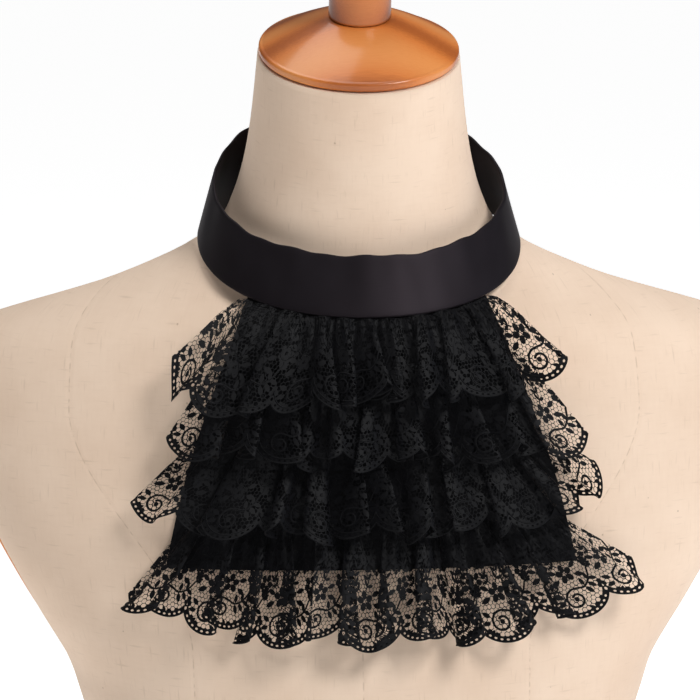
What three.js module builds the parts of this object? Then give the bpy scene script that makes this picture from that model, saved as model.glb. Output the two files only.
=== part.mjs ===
// A jabot of gathered lace, worn by a limbless dress form that stands on its own flat base.
// Units are millimetres, +Z is up, the front faces -Y and +X is on a viewer's right.
// The form is modelled round the axis of its neck, and the whole group is centred over its base at the end.

import * as THREE from 'three';

const RIGHT_ANGLE = Math.PI / 2;
const FULL_TURN = Math.PI * 2;
const SEAM_GAP = 0.3;

// The dress form, read as horizontal sections from its base to the top of its neck.
// halfWidth is to one side; front and back are where the section meets the centre plane;
// squareness is the exponent of the section's outline, 2 for an ellipse; tilt lowers its front edge.
const FORM_SECTIONS = [
  { height: 0, halfWidth: 126, front: -89, back: 72, squareness: 2.2, tilt: 0 },
  { height: 28, halfWidth: 121, front: -87, back: 67, squareness: 2.15, tilt: 0 },
  { height: 62, halfWidth: 118.5, front: -87, back: 65, squareness: 2.1, tilt: 0 },
  { height: 100, halfWidth: 121, front: -94, back: 71, squareness: 2.1, tilt: 0 },
  { height: 140, halfWidth: 127, front: -106, back: 80, squareness: 2.15, tilt: 0 },
  { height: 170, halfWidth: 134, front: -117, back: 86, squareness: 2.2, tilt: 0 },
  { height: 197, halfWidth: 141, front: -123, back: 90, squareness: 2.25, tilt: 0 },
  { height: 216, halfWidth: 148, front: -120.3, back: 92.4, squareness: 2.25, tilt: 0 },
  { height: 246, halfWidth: 169, front: -112, back: 95, squareness: 2.25, tilt: 0 },
  { height: 275, halfWidth: 190, front: -103, back: 96, squareness: 2.25, tilt: 0 },
  { height: 310, halfWidth: 208, front: -92, back: 95, squareness: 2.2, tilt: 0 },
  { height: 340, halfWidth: 215, front: -84, back: 93, squareness: 2.1, tilt: 0 },
  { height: 360, halfWidth: 211, front: -79, back: 90, squareness: 1.95, tilt: 0 },
  { height: 374, halfWidth: 198, front: -75, back: 87, squareness: 1.8, tilt: 0 },
  { height: 382, halfWidth: 175, front: -73, back: 86, squareness: 1.7, tilt: 0 },
  { height: 389, halfWidth: 151, front: -71, back: 84, squareness: 1.5, tilt: 0 },
  { height: 396, halfWidth: 127, front: -68, back: 82, squareness: 1.43, tilt: 0 },
  { height: 404, halfWidth: 106, front: -65, back: 79, squareness: 1.45, tilt: 0 },
  { height: 413, halfWidth: 86, front: -62, back: 76, squareness: 1.6, tilt: 1 },
  { height: 424, halfWidth: 70, front: -59, back: 71, squareness: 1.8, tilt: 3.5 },
  { height: 438, halfWidth: 62, front: -57, back: 65, squareness: 2, tilt: 7 },
  { height: 456, halfWidth: 56.5, front: -55, back: 57, squareness: 2, tilt: 11 },
  { height: 476, halfWidth: 53, front: -53.5, back: 50, squareness: 2, tilt: 15 },
  { height: 508, halfWidth: 49.5, front: -51, back: 43.5, squareness: 2, tilt: 19.5 },
];
const FORM_RING_SPACING = 20;
const FORM_RING_SIDES = 44;

// Each armhole is a flat cut, leaning out at the top, and closed by an oval plate of wood.
// height and outward are its centre's; below foot the cut lets go of the body, by release for each step down.
const ARMHOLE = { height: 278.5, outward: 177.5, slope: 0.5, centreDepth: 0, foot: 216, release: 1.5 };
const ARMHOLE_PLATE = { halfHeight: 68.5, halfWidth: 34, thickness: 2.6, bevel: 0.8, sides: 22 };

// The neck is closed by a turned wooden cap with a low dome, and a knob stands on the cap.
// crown is how much steeper the dome starts at the rim than a straight cone would.
const NECK_CAP = { radius: 49, rim: 4.6, edge: 1.6, dome: 14.5, crown: 1.2, seat: 17 };
const NECK_KNOB = { foot: 15.3, waist: 15, head: 18, height: 40, headHeight: 16 };
const TURNED_SIDES = 32;

// The neckband is one strip of doubled satin. Each edge is an oval seen from above and rises to the back.
// sag is how far an edge hangs below that rise behind the shoulders, easing in over a part of the way back.
const BAND_LOWER = { height: 390, halfWidth: 80, centreDepth: -6.5, halfDepth: 76.5, rise: 60, sag: 10 };
const BAND_UPPER = { height: 417.5, halfWidth: 72, centreDepth: -4, halfDepth: 66, rise: 62, sag: 0 };
const BAND = {
  thickness: 1.6, riseExponent: 1.15, sagFrom: 0.5, sagTo: 0.85, steps: 80, rows: 2, ripple: 0.9,
};
// Its ends cross at the back, with a hook patch and a loop patch between them.
const BAND_OVERLAP = { start: 142, lifted: 167, end: 192, patchFrom: 173, patchTo: 187 };
const PATCH = { thickness: 1, gap: 0.45, top: 0.2, bottom: 0.8, columns: 6, rows: 2 };
const OVERLAP_LIFT = BAND.thickness + 2 * PATCH.thickness + 3 * PATCH.gap;

// The backing panel hangs from inside the band and lies down the chest, clear of it.
const CHEST = { slope: 0.925, clearance: 1.9, bandGap: 1.8, riseHalfWidth: 60, riseFade: 70, blend: 95 };
const PANEL = {
  top: -1.5, bottom: 125, topHalfWidth: 56, bottomHalfWidth: 97, bow: 5,
  thickness: 1.2, columns: 20, rows: 12,
};

// The lace is sewn to the panel in four gathered tiers, each a strip with a scalloped hem.
// seam is the distance of the gathered edge below the band, depth the cloth from there to the hem, lift how
// far the hem stands off the panel, and wave the size of its gathers there. The two cut ends fan out:
// splay is the angle of a cut end, depth the cloth beside it, and corner the share its corner is short by.
// For all tiers, fanCurve gathers the fan towards the ends, endCalm flattens the waves there, and the
// variety and the shifts make the waves uneven in size and place.
const LACE = {
  thickness: 1, columns: 92, rows: 4, offPanel: 0.5, seamWave: 1.1, scallop: 5, foldSwing: 0.105,
  fanCurve: 2.4, cornerFrom: 0.9, endCalm: 0.45, waveVariety: 0.22, slowShift: 0.16, quickShift: 0.1,
};
const LACE_TIERS = [
  {
    name: 'lace_tier_1', seam: 1.8, halfWidth: 57, depth: 40, lift: 12, wave: 4.4, waves: 10, scallops: 13,
    start: 0.1, left: { depth: 68, splay: 54, corner: 0.3 }, right: { depth: 49, splay: 47, corner: 0.05 },
  },
  {
    name: 'lace_tier_2', seam: 24, halfWidth: 71, depth: 49, lift: 10, wave: 4.8, waves: 11, scallops: 14,
    start: 0.45, left: { depth: 50, splay: 29, corner: 0 }, right: { depth: 54, splay: 34, corner: 0 },
  },
  {
    name: 'lace_tier_3', seam: 60, halfWidth: 80, depth: 51, lift: 7.5, wave: 5.2, waves: 11, scallops: 15,
    start: 0.2, left: { depth: 53, splay: 42, corner: 0 }, right: { depth: 48, splay: 58, corner: 0.26 },
  },
  {
    name: 'lace_tier_4', seam: 102, halfWidth: 88, depth: 60, lift: 4.5, wave: 5.6, waves: 12, scallops: 17,
    start: 0.6, left: { depth: 48, splay: 38, corner: 0 }, right: { depth: 53, splay: 50, corner: 0.15 },
  },
];

const FINISHES = {
  linen: { color: '#e6d6c3', roughness: 0.9, metalness: 0 },
  wood: { color: '#c87540', roughness: 0.25, metalness: 0 },
  satin: { color: '#1b191d', roughness: 0.45, metalness: 0 },
  backing: { color: '#121114', roughness: 0.85, metalness: 0 },
  lace: { color: '#151417', roughness: 0.6, metalness: 0 },
  fastener: { color: '#1c1c1e', roughness: 0.95, metalness: 0 },
};

const clamp01 = (value) => Math.min(1, Math.max(0, value));
const mix = (from, to, share) => from + (to - from) * share;
const ease = (share) => share * share * (3 - 2 * share);
const power = (value, exponent) => Math.sign(value) * Math.abs(value) ** exponent;

// The slope of one column of the section table at a row, from its two neighbours.
function tableSlope(rows, index, column) {
  const before = rows[Math.max(index - 1, 0)];
  const after = rows[Math.min(index + 1, rows.length - 1)];
  return (after[column] - before[column]) / (after.height - before.height);
}

// One column of the section table at any height, on a smooth cubic through its rows.
function sectionValue(height, column) {
  const rows = FORM_SECTIONS;
  let index = rows.findIndex((row) => row.height > height) - 1;
  if (index < 0) index = height < rows[0].height ? 0 : rows.length - 2;
  const low = rows[index];
  const high = rows[index + 1];
  const span = high.height - low.height;
  const t = clamp01((height - low.height) / span);
  const lowSlope = tableSlope(rows, index, column) * span;
  const highSlope = tableSlope(rows, index + 1, column) * span;
  return (
    low[column] * (1 + 2 * t) * (1 - t) ** 2
    + lowSlope * t * (1 - t) ** 2
    + high[column] * t * t * (3 - 2 * t)
    - highSlope * t * t * (1 - t)
  );
}

// The cut of an armhole, as a distance from the centre plane.
const armholeAt = (height) => ARMHOLE.outward
  + (height - ARMHOLE.height) * ARMHOLE.slope
  + Math.max(0, ARMHOLE.foot - height) * ARMHOLE.release;

// A point of the form's surface on the section at a height, by its angle round the section.
function formPoint(height, angle) {
  const front = sectionValue(height, 'front');
  const back = sectionValue(height, 'back');
  const exponent = 2 / sectionValue(height, 'squareness');
  const across = sectionValue(height, 'halfWidth') * power(Math.cos(angle), exponent);
  const inDepth = ((back - front) / 2) * power(Math.sin(angle), exponent);
  const tilt = THREE.MathUtils.degToRad(sectionValue(height, 'tilt'));
  return new THREE.Vector3(
    THREE.MathUtils.clamp(across, -armholeAt(height), armholeAt(height)),
    (front + back) / 2 + inDepth,
    height + inDepth * Math.tan(tilt),
  );
}

// The depth of the form's front surface at a place on the chest.
function chestDepth(x, height) {
  const front = sectionValue(height, 'front');
  const back = sectionValue(height, 'back');
  const squareness = sectionValue(height, 'squareness');
  const share = Math.min(Math.abs(x) / sectionValue(height, 'halfWidth'), 0.97);
  return (front + back) / 2 - ((back - front) / 2) * (1 - share ** squareness) ** (1 / squareness);
}

// A closed mesh from rings of points: each ring is joined to the next and both ends are filled.
function solidFromRings(rings) {
  const sides = rings[0].length;
  const points = rings.flat();
  const faces = [];
  for (let ring = 0; ring < rings.length - 1; ring += 1) {
    for (let side = 0; side < sides; side += 1) {
      const a = ring * sides + side;
      const b = ring * sides + ((side + 1) % sides);
      faces.push(a, b, b + sides, a, b + sides, a + sides);
    }
  }
  const last = (rings.length - 1) * sides;
  const middles = [0, last].map((first) => {
    const middle = new THREE.Vector3();
    for (let side = 0; side < sides; side += 1) middle.add(points[first + side]);
    return middle.divideScalar(sides);
  });
  points.push(...middles);
  for (let side = 0; side < sides; side += 1) {
    const next = (side + 1) % sides;
    faces.push(points.length - 2, next, side);
    faces.push(points.length - 1, last + side, last + next);
  }
  return geometryFrom(points, faces);
}

function geometryFrom(points, faces) {
  const geometry = new THREE.BufferGeometry().setFromPoints(points);
  geometry.setIndex(faces);
  geometry.computeVertexNormals();
  return geometry;
}

// The outward normal of a surface that is given by a function of two shares from 0 to 1.
function surfaceNormal(surface, u, v) {
  const step = 1e-3;
  const alongU = surface(Math.min(u + step, 1), v).sub(surface(Math.max(u - step, 0), v));
  const alongV = surface(u, Math.min(v + step, 1)).sub(surface(u, Math.max(v - step, 0)));
  return alongV.cross(alongU).normalize();
}

// A closed wall of even thickness behind a surface. u runs to +X and v runs down, so its outside faces out.
function wallBehind(surface, thickness, columns, rows) {
  const outside = [];
  const inside = [];
  for (let row = 0; row <= rows; row += 1) {
    for (let column = 0; column <= columns; column += 1) {
      const u = column / columns;
      const v = row / rows;
      const point = surface(u, v);
      outside.push(point);
      inside.push(point.clone().addScaledVector(surfaceNormal(surface, u, v), -thickness));
    }
  }
  const width = columns + 1;
  const back = outside.length;
  const faces = [];
  const quad = (a, b, c, d) => faces.push(a, b, c, a, c, d);
  for (let row = 0; row < rows; row += 1) {
    for (let column = 0; column < columns; column += 1) {
      const a = row * width + column;
      quad(a, a + width, a + width + 1, a + 1);
      quad(back + a, back + a + 1, back + a + width + 1, back + a + width);
    }
  }
  const lastRow = rows * width;
  for (let column = 0; column < columns; column += 1) {
    quad(column, column + 1, back + column + 1, back + column);
    quad(lastRow + column + 1, lastRow + column, back + lastRow + column, back + lastRow + column + 1);
  }
  for (let row = 0; row < rows; row += 1) {
    const left = row * width;
    const right = left + columns;
    quad(left + width, left, back + left, back + left + width);
    quad(right, right + width, back + right + width, back + right);
  }
  return geometryFrom([...outside, ...inside], faces);
}

function namedMesh(name, geometry, finish) {
  const mesh = new THREE.Mesh(geometry, new THREE.MeshStandardMaterial(finish));
  mesh.name = name;
  return mesh;
}

function formTorso() {
  const heights = [FORM_SECTIONS[0].height];
  for (let index = 1; index < FORM_SECTIONS.length; index += 1) {
    const from = FORM_SECTIONS[index - 1].height;
    const to = FORM_SECTIONS[index].height;
    const steps = Math.ceil((to - from) / FORM_RING_SPACING);
    for (let step = 1; step <= steps; step += 1) heights.push(mix(from, to, step / steps));
  }
  const rings = heights.map((height) => Array.from(
    { length: FORM_RING_SIDES },
    (_, side) => formPoint(height, (side / FORM_RING_SIDES) * FULL_TURN),
  ));
  return namedMesh('form_torso', solidFromRings(rings), FINISHES.linen);
}

// An oval plate on the flat of an armhole, its back parallel to the cut and a seam gap from it.
function armholePlate(name, side) {
  const { halfHeight, halfWidth, thickness, bevel, sides } = ARMHOLE_PLATE;
  const outline = new THREE.Shape().absellipse(0, 0, halfWidth - bevel, halfHeight - bevel, 0, FULL_TURN);
  const geometry = new THREE.ExtrudeGeometry(outline, {
    depth: thickness - 2 * bevel,
    bevelSize: bevel,
    bevelThickness: bevel,
    bevelSegments: 1,
    curveSegments: sides,
  });
  geometry.translate(0, 0, bevel + SEAM_GAP);
  const lean = Math.atan(ARMHOLE.slope);
  geometry.rotateX(RIGHT_ANGLE);
  geometry.rotateZ(side * RIGHT_ANGLE);
  const plate = namedMesh(name, geometry, FINISHES.wood);
  plate.rotation.y = side * lean;
  plate.position.set(side * ARMHOLE.outward, ARMHOLE.centreDepth, ARMHOLE.height);
  return plate;
}

// A quarter-round run of profile points from one angle to another about a centre.
function arcPoints(centreX, centreY, radius, from, to, steps) {
  return Array.from({ length: steps + 1 }, (_, step) => {
    const angle = mix(from, to, step / steps);
    return new THREE.Vector2(centreX + radius * Math.cos(angle), centreY + radius * Math.sin(angle));
  });
}

function neckCap() {
  const { radius, rim, edge, dome, crown, seat } = NECK_CAP;
  const edgeSteps = 3;
  const profile = [
    new THREE.Vector2(0, 0),
    ...arcPoints(radius - edge, edge, edge, -RIGHT_ANGLE, 0, edgeSteps),
    ...arcPoints(radius - edge, rim - edge, edge, 0, RIGHT_ANGLE, edgeSteps),
  ];
  const domeSteps = 7;
  for (let step = 1; step <= domeSteps; step += 1) {
    const share = step / domeSteps;
    const height = rim + dome * (crown * share - (crown - 1) * share ** 2);
    profile.push(new THREE.Vector2(mix(radius - edge, seat, share), height));
  }
  profile.push(new THREE.Vector2(0, rim + dome));
  return namedMesh('neck_cap', latheUp(profile), FINISHES.wood);
}

// A turned solid about +Z from a profile of radius and height.
function latheUp(profile) {
  return new THREE.LatheGeometry(profile, TURNED_SIDES).rotateX(RIGHT_ANGLE);
}

function neckKnob() {
  const { foot, waist, head, height, headHeight } = NECK_KNOB;
  const profile = [new THREE.Vector2(0, 0), new THREE.Vector2(foot, 0)];
  const stemHeight = height - headHeight;
  const stemSteps = 5;
  for (let step = 1; step <= stemSteps; step += 1) {
    const share = step / stemSteps;
    const swell = mix(foot, head, share ** 3) - (foot - waist) * Math.sin(share * Math.PI);
    profile.push(new THREE.Vector2(swell, stemHeight * share));
  }
  const headSteps = 7;
  for (let step = 1; step < headSteps; step += 1) {
    const angle = (step / headSteps) * RIGHT_ANGLE;
    profile.push(new THREE.Vector2(head * Math.cos(angle), stemHeight + headHeight * Math.sin(angle)));
  }
  profile.push(new THREE.Vector2(0, height));
  const knob = namedMesh('neck_knob', latheUp(profile), FINISHES.wood);
  knob.position.z = NECK_CAP.rim + NECK_CAP.dome + SEAM_GAP;
  return knob;
}

// The cap and knob stand square to the tilted top of the neck.
function neckTop() {
  const top = FORM_SECTIONS[FORM_SECTIONS.length - 1];
  const group = new THREE.Group();
  group.add(neckCap(), neckKnob());
  group.rotation.x = THREE.MathUtils.degToRad(top.tilt);
  group.position.set(0, (top.front + top.back) / 2, top.height);
  group.translateZ(SEAM_GAP);
  return group;
}

// A point of one edge of the band, stepped out by a distance.
// The angle is zero at the centre front and grows towards +X.
function bandEdge(edge, angle, outward) {
  const along = Math.sin(angle);
  const inDepth = -Math.cos(angle);
  const wayBack = (1 + inDepth) / 2;
  const sag = edge.sag * ease(clamp01((wayBack - BAND.sagFrom) / (BAND.sagTo - BAND.sagFrom)));
  return new THREE.Vector3(
    (edge.halfWidth + outward) * along,
    edge.centreDepth + (edge.halfDepth + outward) * inDepth,
    edge.height + edge.rise * wayBack ** BAND.riseExponent - sag,
  );
}

// How far the outer end of the band has stepped out to lie over the inner end.
function overlapLift(degrees) {
  const { start, lifted } = BAND_OVERLAP;
  return OVERLAP_LIFT * ease(clamp01((degrees - start) / (lifted - start)));
}

// The band's outer surface: u runs round it from the inner end to the outer end, v from top to bottom.
function bandSurface(u, v) {
  const degrees = mix(-BAND_OVERLAP.end, BAND_OVERLAP.end, u);
  return bandPoint(degrees, v, overlapLift(degrees));
}

// A point of the band, stepped out by a distance, with a little slack along its upper edge at the front.
function bandPoint(degrees, v, outward) {
  const angle = THREE.MathUtils.degToRad(degrees);
  const slack = BAND.ripple * Math.sin(angle * 5 + 0.6) * Math.cos(angle / 2) ** 2 * (1 - v);
  const upper = bandEdge(BAND_UPPER, angle, outward + slack);
  const lower = bandEdge(BAND_LOWER, angle, outward);
  return upper.lerp(lower, v);
}

function neckband() {
  const geometry = wallBehind(bandSurface, BAND.thickness, BAND.steps, BAND.rows);
  return namedMesh('neckband', geometry, FINISHES.satin);
}

// A patch of the fastening: layer 1 lies on the band's inner end and layer 2 on the patch below it.
function fastenerPatch(name, layer) {
  const outward = layer * (PATCH.thickness + PATCH.gap);
  const surface = (u, v) => bandPoint(
    mix(BAND_OVERLAP.patchFrom, BAND_OVERLAP.patchTo, u),
    mix(PATCH.top, PATCH.bottom, v),
    outward,
  );
  const geometry = wallBehind(surface, PATCH.thickness, PATCH.columns, PATCH.rows);
  return namedMesh(name, geometry, FINISHES.fastener);
}

// The height of the band's lower edge above its front, at a distance from the centre plane.
function bandRise(x) {
  const reach = Math.min(Math.abs(x), CHEST.riseHalfWidth);
  const angle = Math.asin(reach / BAND_LOWER.halfWidth);
  return BAND_LOWER.rise * ((1 - Math.cos(angle)) / 2) ** BAND.riseExponent;
}

// The outside of the panel and its spread beyond the panel's edges: x across, drop down from the band.
// It starts inside the band's lower edge and settles to a small clearance over the chest.
function chestSurface(x, drop) {
  const fade = clamp01(1 - Math.max(drop, 0) / CHEST.riseFade) ** 2;
  const height = BAND_LOWER.height - CHEST.slope * drop + bandRise(x) * fade;
  const reach = Math.min(Math.abs(x), CHEST.riseHalfWidth);
  const angle = Math.asin(reach / BAND_LOWER.halfWidth);
  const bandDepth = BAND_LOWER.centreDepth - BAND_LOWER.halfDepth * Math.cos(angle);
  const atBand = bandDepth + BAND.thickness + CHEST.bandGap;
  const topHeight = BAND_LOWER.height + bandRise(x);
  const topClearance = chestDepth(reach, topHeight) - atBand;
  const settle = ease(clamp01(drop / CHEST.blend));
  return new THREE.Vector3(x, chestDepth(x, height) - mix(topClearance, CHEST.clearance, settle), height);
}

// A point that stands off the chest surface by a distance along its normal.
function overChest(x, drop, off) {
  const step = 0.5;
  const across = chestSurface(x + step, drop).sub(chestSurface(x - step, drop));
  const down = chestSurface(x, drop + step).sub(chestSurface(x, drop - step));
  return chestSurface(x, drop).addScaledVector(down.cross(across).normalize(), off);
}

function backingPanel() {
  const surface = (u, v) => {
    const side = 2 * u - 1;
    const flare = mix(PANEL.topHalfWidth, PANEL.bottomHalfWidth, v);
    const halfWidth = flare + PANEL.bow * Math.sin(v * Math.PI);
    return overChest(side * halfWidth, mix(PANEL.top, PANEL.bottom, v), 0);
  };
  const geometry = wallBehind(surface, PANEL.thickness, PANEL.columns, PANEL.rows);
  return namedMesh('backing_panel', geometry, FINISHES.backing);
}

// The phase of a tier's waves along its length, a little uneven.
function wavePhase(tier, u) {
  const slow = LACE.slowShift * Math.sin(FULL_TURN * (2 * u + tier.start));
  const quick = LACE.quickShift * Math.sin(FULL_TURN * (5 * u + tier.start * 3));
  return FULL_TURN * (tier.waves * u + tier.start + slow + quick);
}

// The depth of a tier's scallops at a place along its hem, from 0 at a notch to 1 at the middle of a lobe.
const scallopAt = (tier, u) => Math.sqrt(Math.abs(Math.sin(Math.PI * tier.scallops * u)));

// A gathered tier: u runs along the strip to +X and v from the gathered seam to the hem.
function tierSurface(tier) {
  return (u, v) => {
    const side = 2 * u - 1;
    const end = side < 0 ? tier.left : tier.right;
    const fan = power(side, LACE.fanCurve);
    const lean = THREE.MathUtils.degToRad(end.splay) * fan;
    const nearCorner = ease(clamp01((Math.abs(side) - LACE.cornerFrom) / (1 - LACE.cornerFrom)));
    const fullDepth = mix(tier.depth, end.depth, Math.abs(fan)) * (1 - end.corner * nearCorner);
    const depth = v * (fullDepth + LACE.scallop * (scallopAt(tier, u) - 1));
    const phase = wavePhase(tier, u);
    const calm = 1 - LACE.endCalm * side ** 4;
    const uneven = 1 + LACE.waveVariety * Math.sin(FULL_TURN * (3 * u + tier.start * 2));
    const wave = mix(LACE.seamWave, tier.wave * uneven, v) * calm;
    const pitch = (2 * tier.halfWidth) / tier.waves;
    const swing = LACE.foldSwing * pitch * Math.sin(2 * phase) * v;
    const off = LACE.thickness + LACE.offPanel + tier.lift * v + wave * (1 + Math.cos(phase));
    return overChest(
      side * tier.halfWidth + depth * Math.sin(lean) + swing * Math.cos(lean),
      tier.seam + depth * Math.cos(lean) - swing * Math.sin(lean),
      off,
    );
  };
}

function laceTier(tier) {
  const geometry = wallBehind(tierSurface(tier), LACE.thickness, LACE.columns, LACE.rows);
  return namedMesh(tier.name, geometry, FINISHES.lace);
}

const jabot = new THREE.Group();
jabot.add(
  neckband(),
  fastenerPatch('fastener_loop_patch', 1),
  fastenerPatch('fastener_hook_patch', 2),
  backingPanel(),
  ...LACE_TIERS.map(laceTier),
);

const dressForm = new THREE.Group();
dressForm.add(
  formTorso(),
  armholePlate('armhole_plate_left', -1),
  armholePlate('armhole_plate_right', 1),
  neckTop(),
);

// The part's origin is at the middle of its base, under the centre of its bounding box.
const part = new THREE.Group();
part.add(dressForm, jabot);
part.updateMatrixWorld(true);
const extent = new THREE.Box3().setFromObject(part, true);
const middle = extent.getCenter(new THREE.Vector3());
part.position.set(-middle.x, -middle.y, -extent.min.z);

export default part;
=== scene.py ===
"""A jabot of gathered black lace on a linen dress form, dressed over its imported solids."""

import logging
import math
from dataclasses import dataclass, field
from enum import Enum

import bpy
import numpy as np
from bpy.types import Material, Mesh, Node, NodeSocket, NodeTree, Object
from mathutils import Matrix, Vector
from mathutils.geometry import delaunay_2d_cdt
from numpy import ndarray as Array


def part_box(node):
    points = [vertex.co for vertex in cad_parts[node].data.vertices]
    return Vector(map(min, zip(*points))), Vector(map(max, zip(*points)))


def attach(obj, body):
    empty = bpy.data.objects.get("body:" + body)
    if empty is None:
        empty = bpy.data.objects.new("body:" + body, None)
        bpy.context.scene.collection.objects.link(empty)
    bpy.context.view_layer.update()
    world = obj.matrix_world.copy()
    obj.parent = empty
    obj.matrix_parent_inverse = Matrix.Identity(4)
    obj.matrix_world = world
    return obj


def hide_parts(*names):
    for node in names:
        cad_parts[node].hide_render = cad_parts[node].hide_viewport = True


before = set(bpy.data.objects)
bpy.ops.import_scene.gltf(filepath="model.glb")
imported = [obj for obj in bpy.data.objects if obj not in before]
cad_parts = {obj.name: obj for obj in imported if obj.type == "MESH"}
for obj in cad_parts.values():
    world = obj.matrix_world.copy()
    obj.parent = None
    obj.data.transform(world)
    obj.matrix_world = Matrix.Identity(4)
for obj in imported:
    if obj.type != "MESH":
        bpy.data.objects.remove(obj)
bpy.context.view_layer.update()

log = logging.getLogger("jabot")

MM = 0.001
ROOT = "root"
# The rings that close a strip's end, as shares of its cross section.
STRIP_ENDS = (0.6, 0.01)

# The form is modelled round the axis of its neck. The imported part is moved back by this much, which the
# place of an armhole plate gives.
ARMHOLE_DEPTH = 0.0
PLATE_LOW, PLATE_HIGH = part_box("armhole_plate_left")
SETBACK = (PLATE_LOW[1] + PLATE_HIGH[1]) / 2 - ARMHOLE_DEPTH


class Slot(Enum):
    """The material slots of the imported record."""

    LINEN = "linen"
    WOOD = "wood"
    SATIN = "satin"
    BACKING = "backing"
    LACE = "lace"
    FASTENER = "fastener"


class Hold(Enum):
    """How a sheet of cloth is held."""

    FOLDED = "folded"
    GATHERED = "gathered"
    HUNG = "hung"


def linear(hex_colour: str) -> tuple[float, float, float, float]:
    """Turns an sRGB hex colour to linear light.

    Args:
        hex_colour: six hex digits, with or without a leading hash.

    Returns:
        Red, green, blue and an alpha of 1.
    """
    digits = hex_colour.lstrip("#")
    channels = [int(digits[i : i + 2], 16) / 255 for i in (0, 2, 4)]
    turned = [c / 12.92 if c <= 0.04045 else ((c + 0.055) / 1.055) ** 2.4 for c in channels]
    return (*turned, 1.0)


def ease(share: Array) -> Array:
    """Eases shares from 0 to 1 in and out, after clamping them to that range."""
    share = np.clip(share, 0.0, 1.0)
    return share * share * (3 - 2 * share)


def mix(start: float, end: float, share: Array) -> Array:
    """The value a share of the way from start to end."""
    return start + (end - start) * share


def power(value: Array, exponent: Array) -> Array:
    """Raises the size of a value to a power and keeps its sign."""
    return np.sign(value) * np.abs(value) ** exponent


def unit(vectors: Array) -> Array:
    """Vectors of length 1 with the same directions."""
    return vectors / np.maximum(np.linalg.norm(vectors, axis=-1, keepdims=True), 1e-12)


def add_node(
    tree: NodeTree,
    kind: str,
    inputs: dict[str | int, object] | None = None,
    stops: tuple[tuple[float, str], ...] = (),
    **settings: object,
) -> Node:
    """Adds a node, sets its settings, and sets or links its inputs.

    Args:
        tree: the node tree that gets the node.
        kind: the node's type name after its first part, ShaderNode.
        inputs: input name or number to a plain value, or to an output socket to link from.
        stops: for a colour ramp, the place of each stop and its sRGB hex colour.
        **settings: the node's own properties.

    Returns:
        The new node.
    """
    node = tree.nodes.new(f"ShaderNode{kind}")
    for name, value in settings.items():
        setattr(node, name, value)
    for name, value in (inputs or {}).items():
        socket = node.inputs[name]
        if isinstance(value, NodeSocket):
            tree.links.new(value, socket)
        else:
            socket.default_value = value
    for number, (place, colour) in enumerate(stops):
        elements = node.color_ramp.elements
        stop = elements[number] if number < len(elements) else elements.new(1.0)
        stop.position, stop.color = place, linear(colour)
    return node


def new_material(name: str) -> tuple[Material, NodeTree]:
    """An empty node material and its tree."""
    material = bpy.data.materials.new(name)
    material.use_nodes = True
    material.node_tree.nodes.clear()
    return material, material.node_tree


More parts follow.
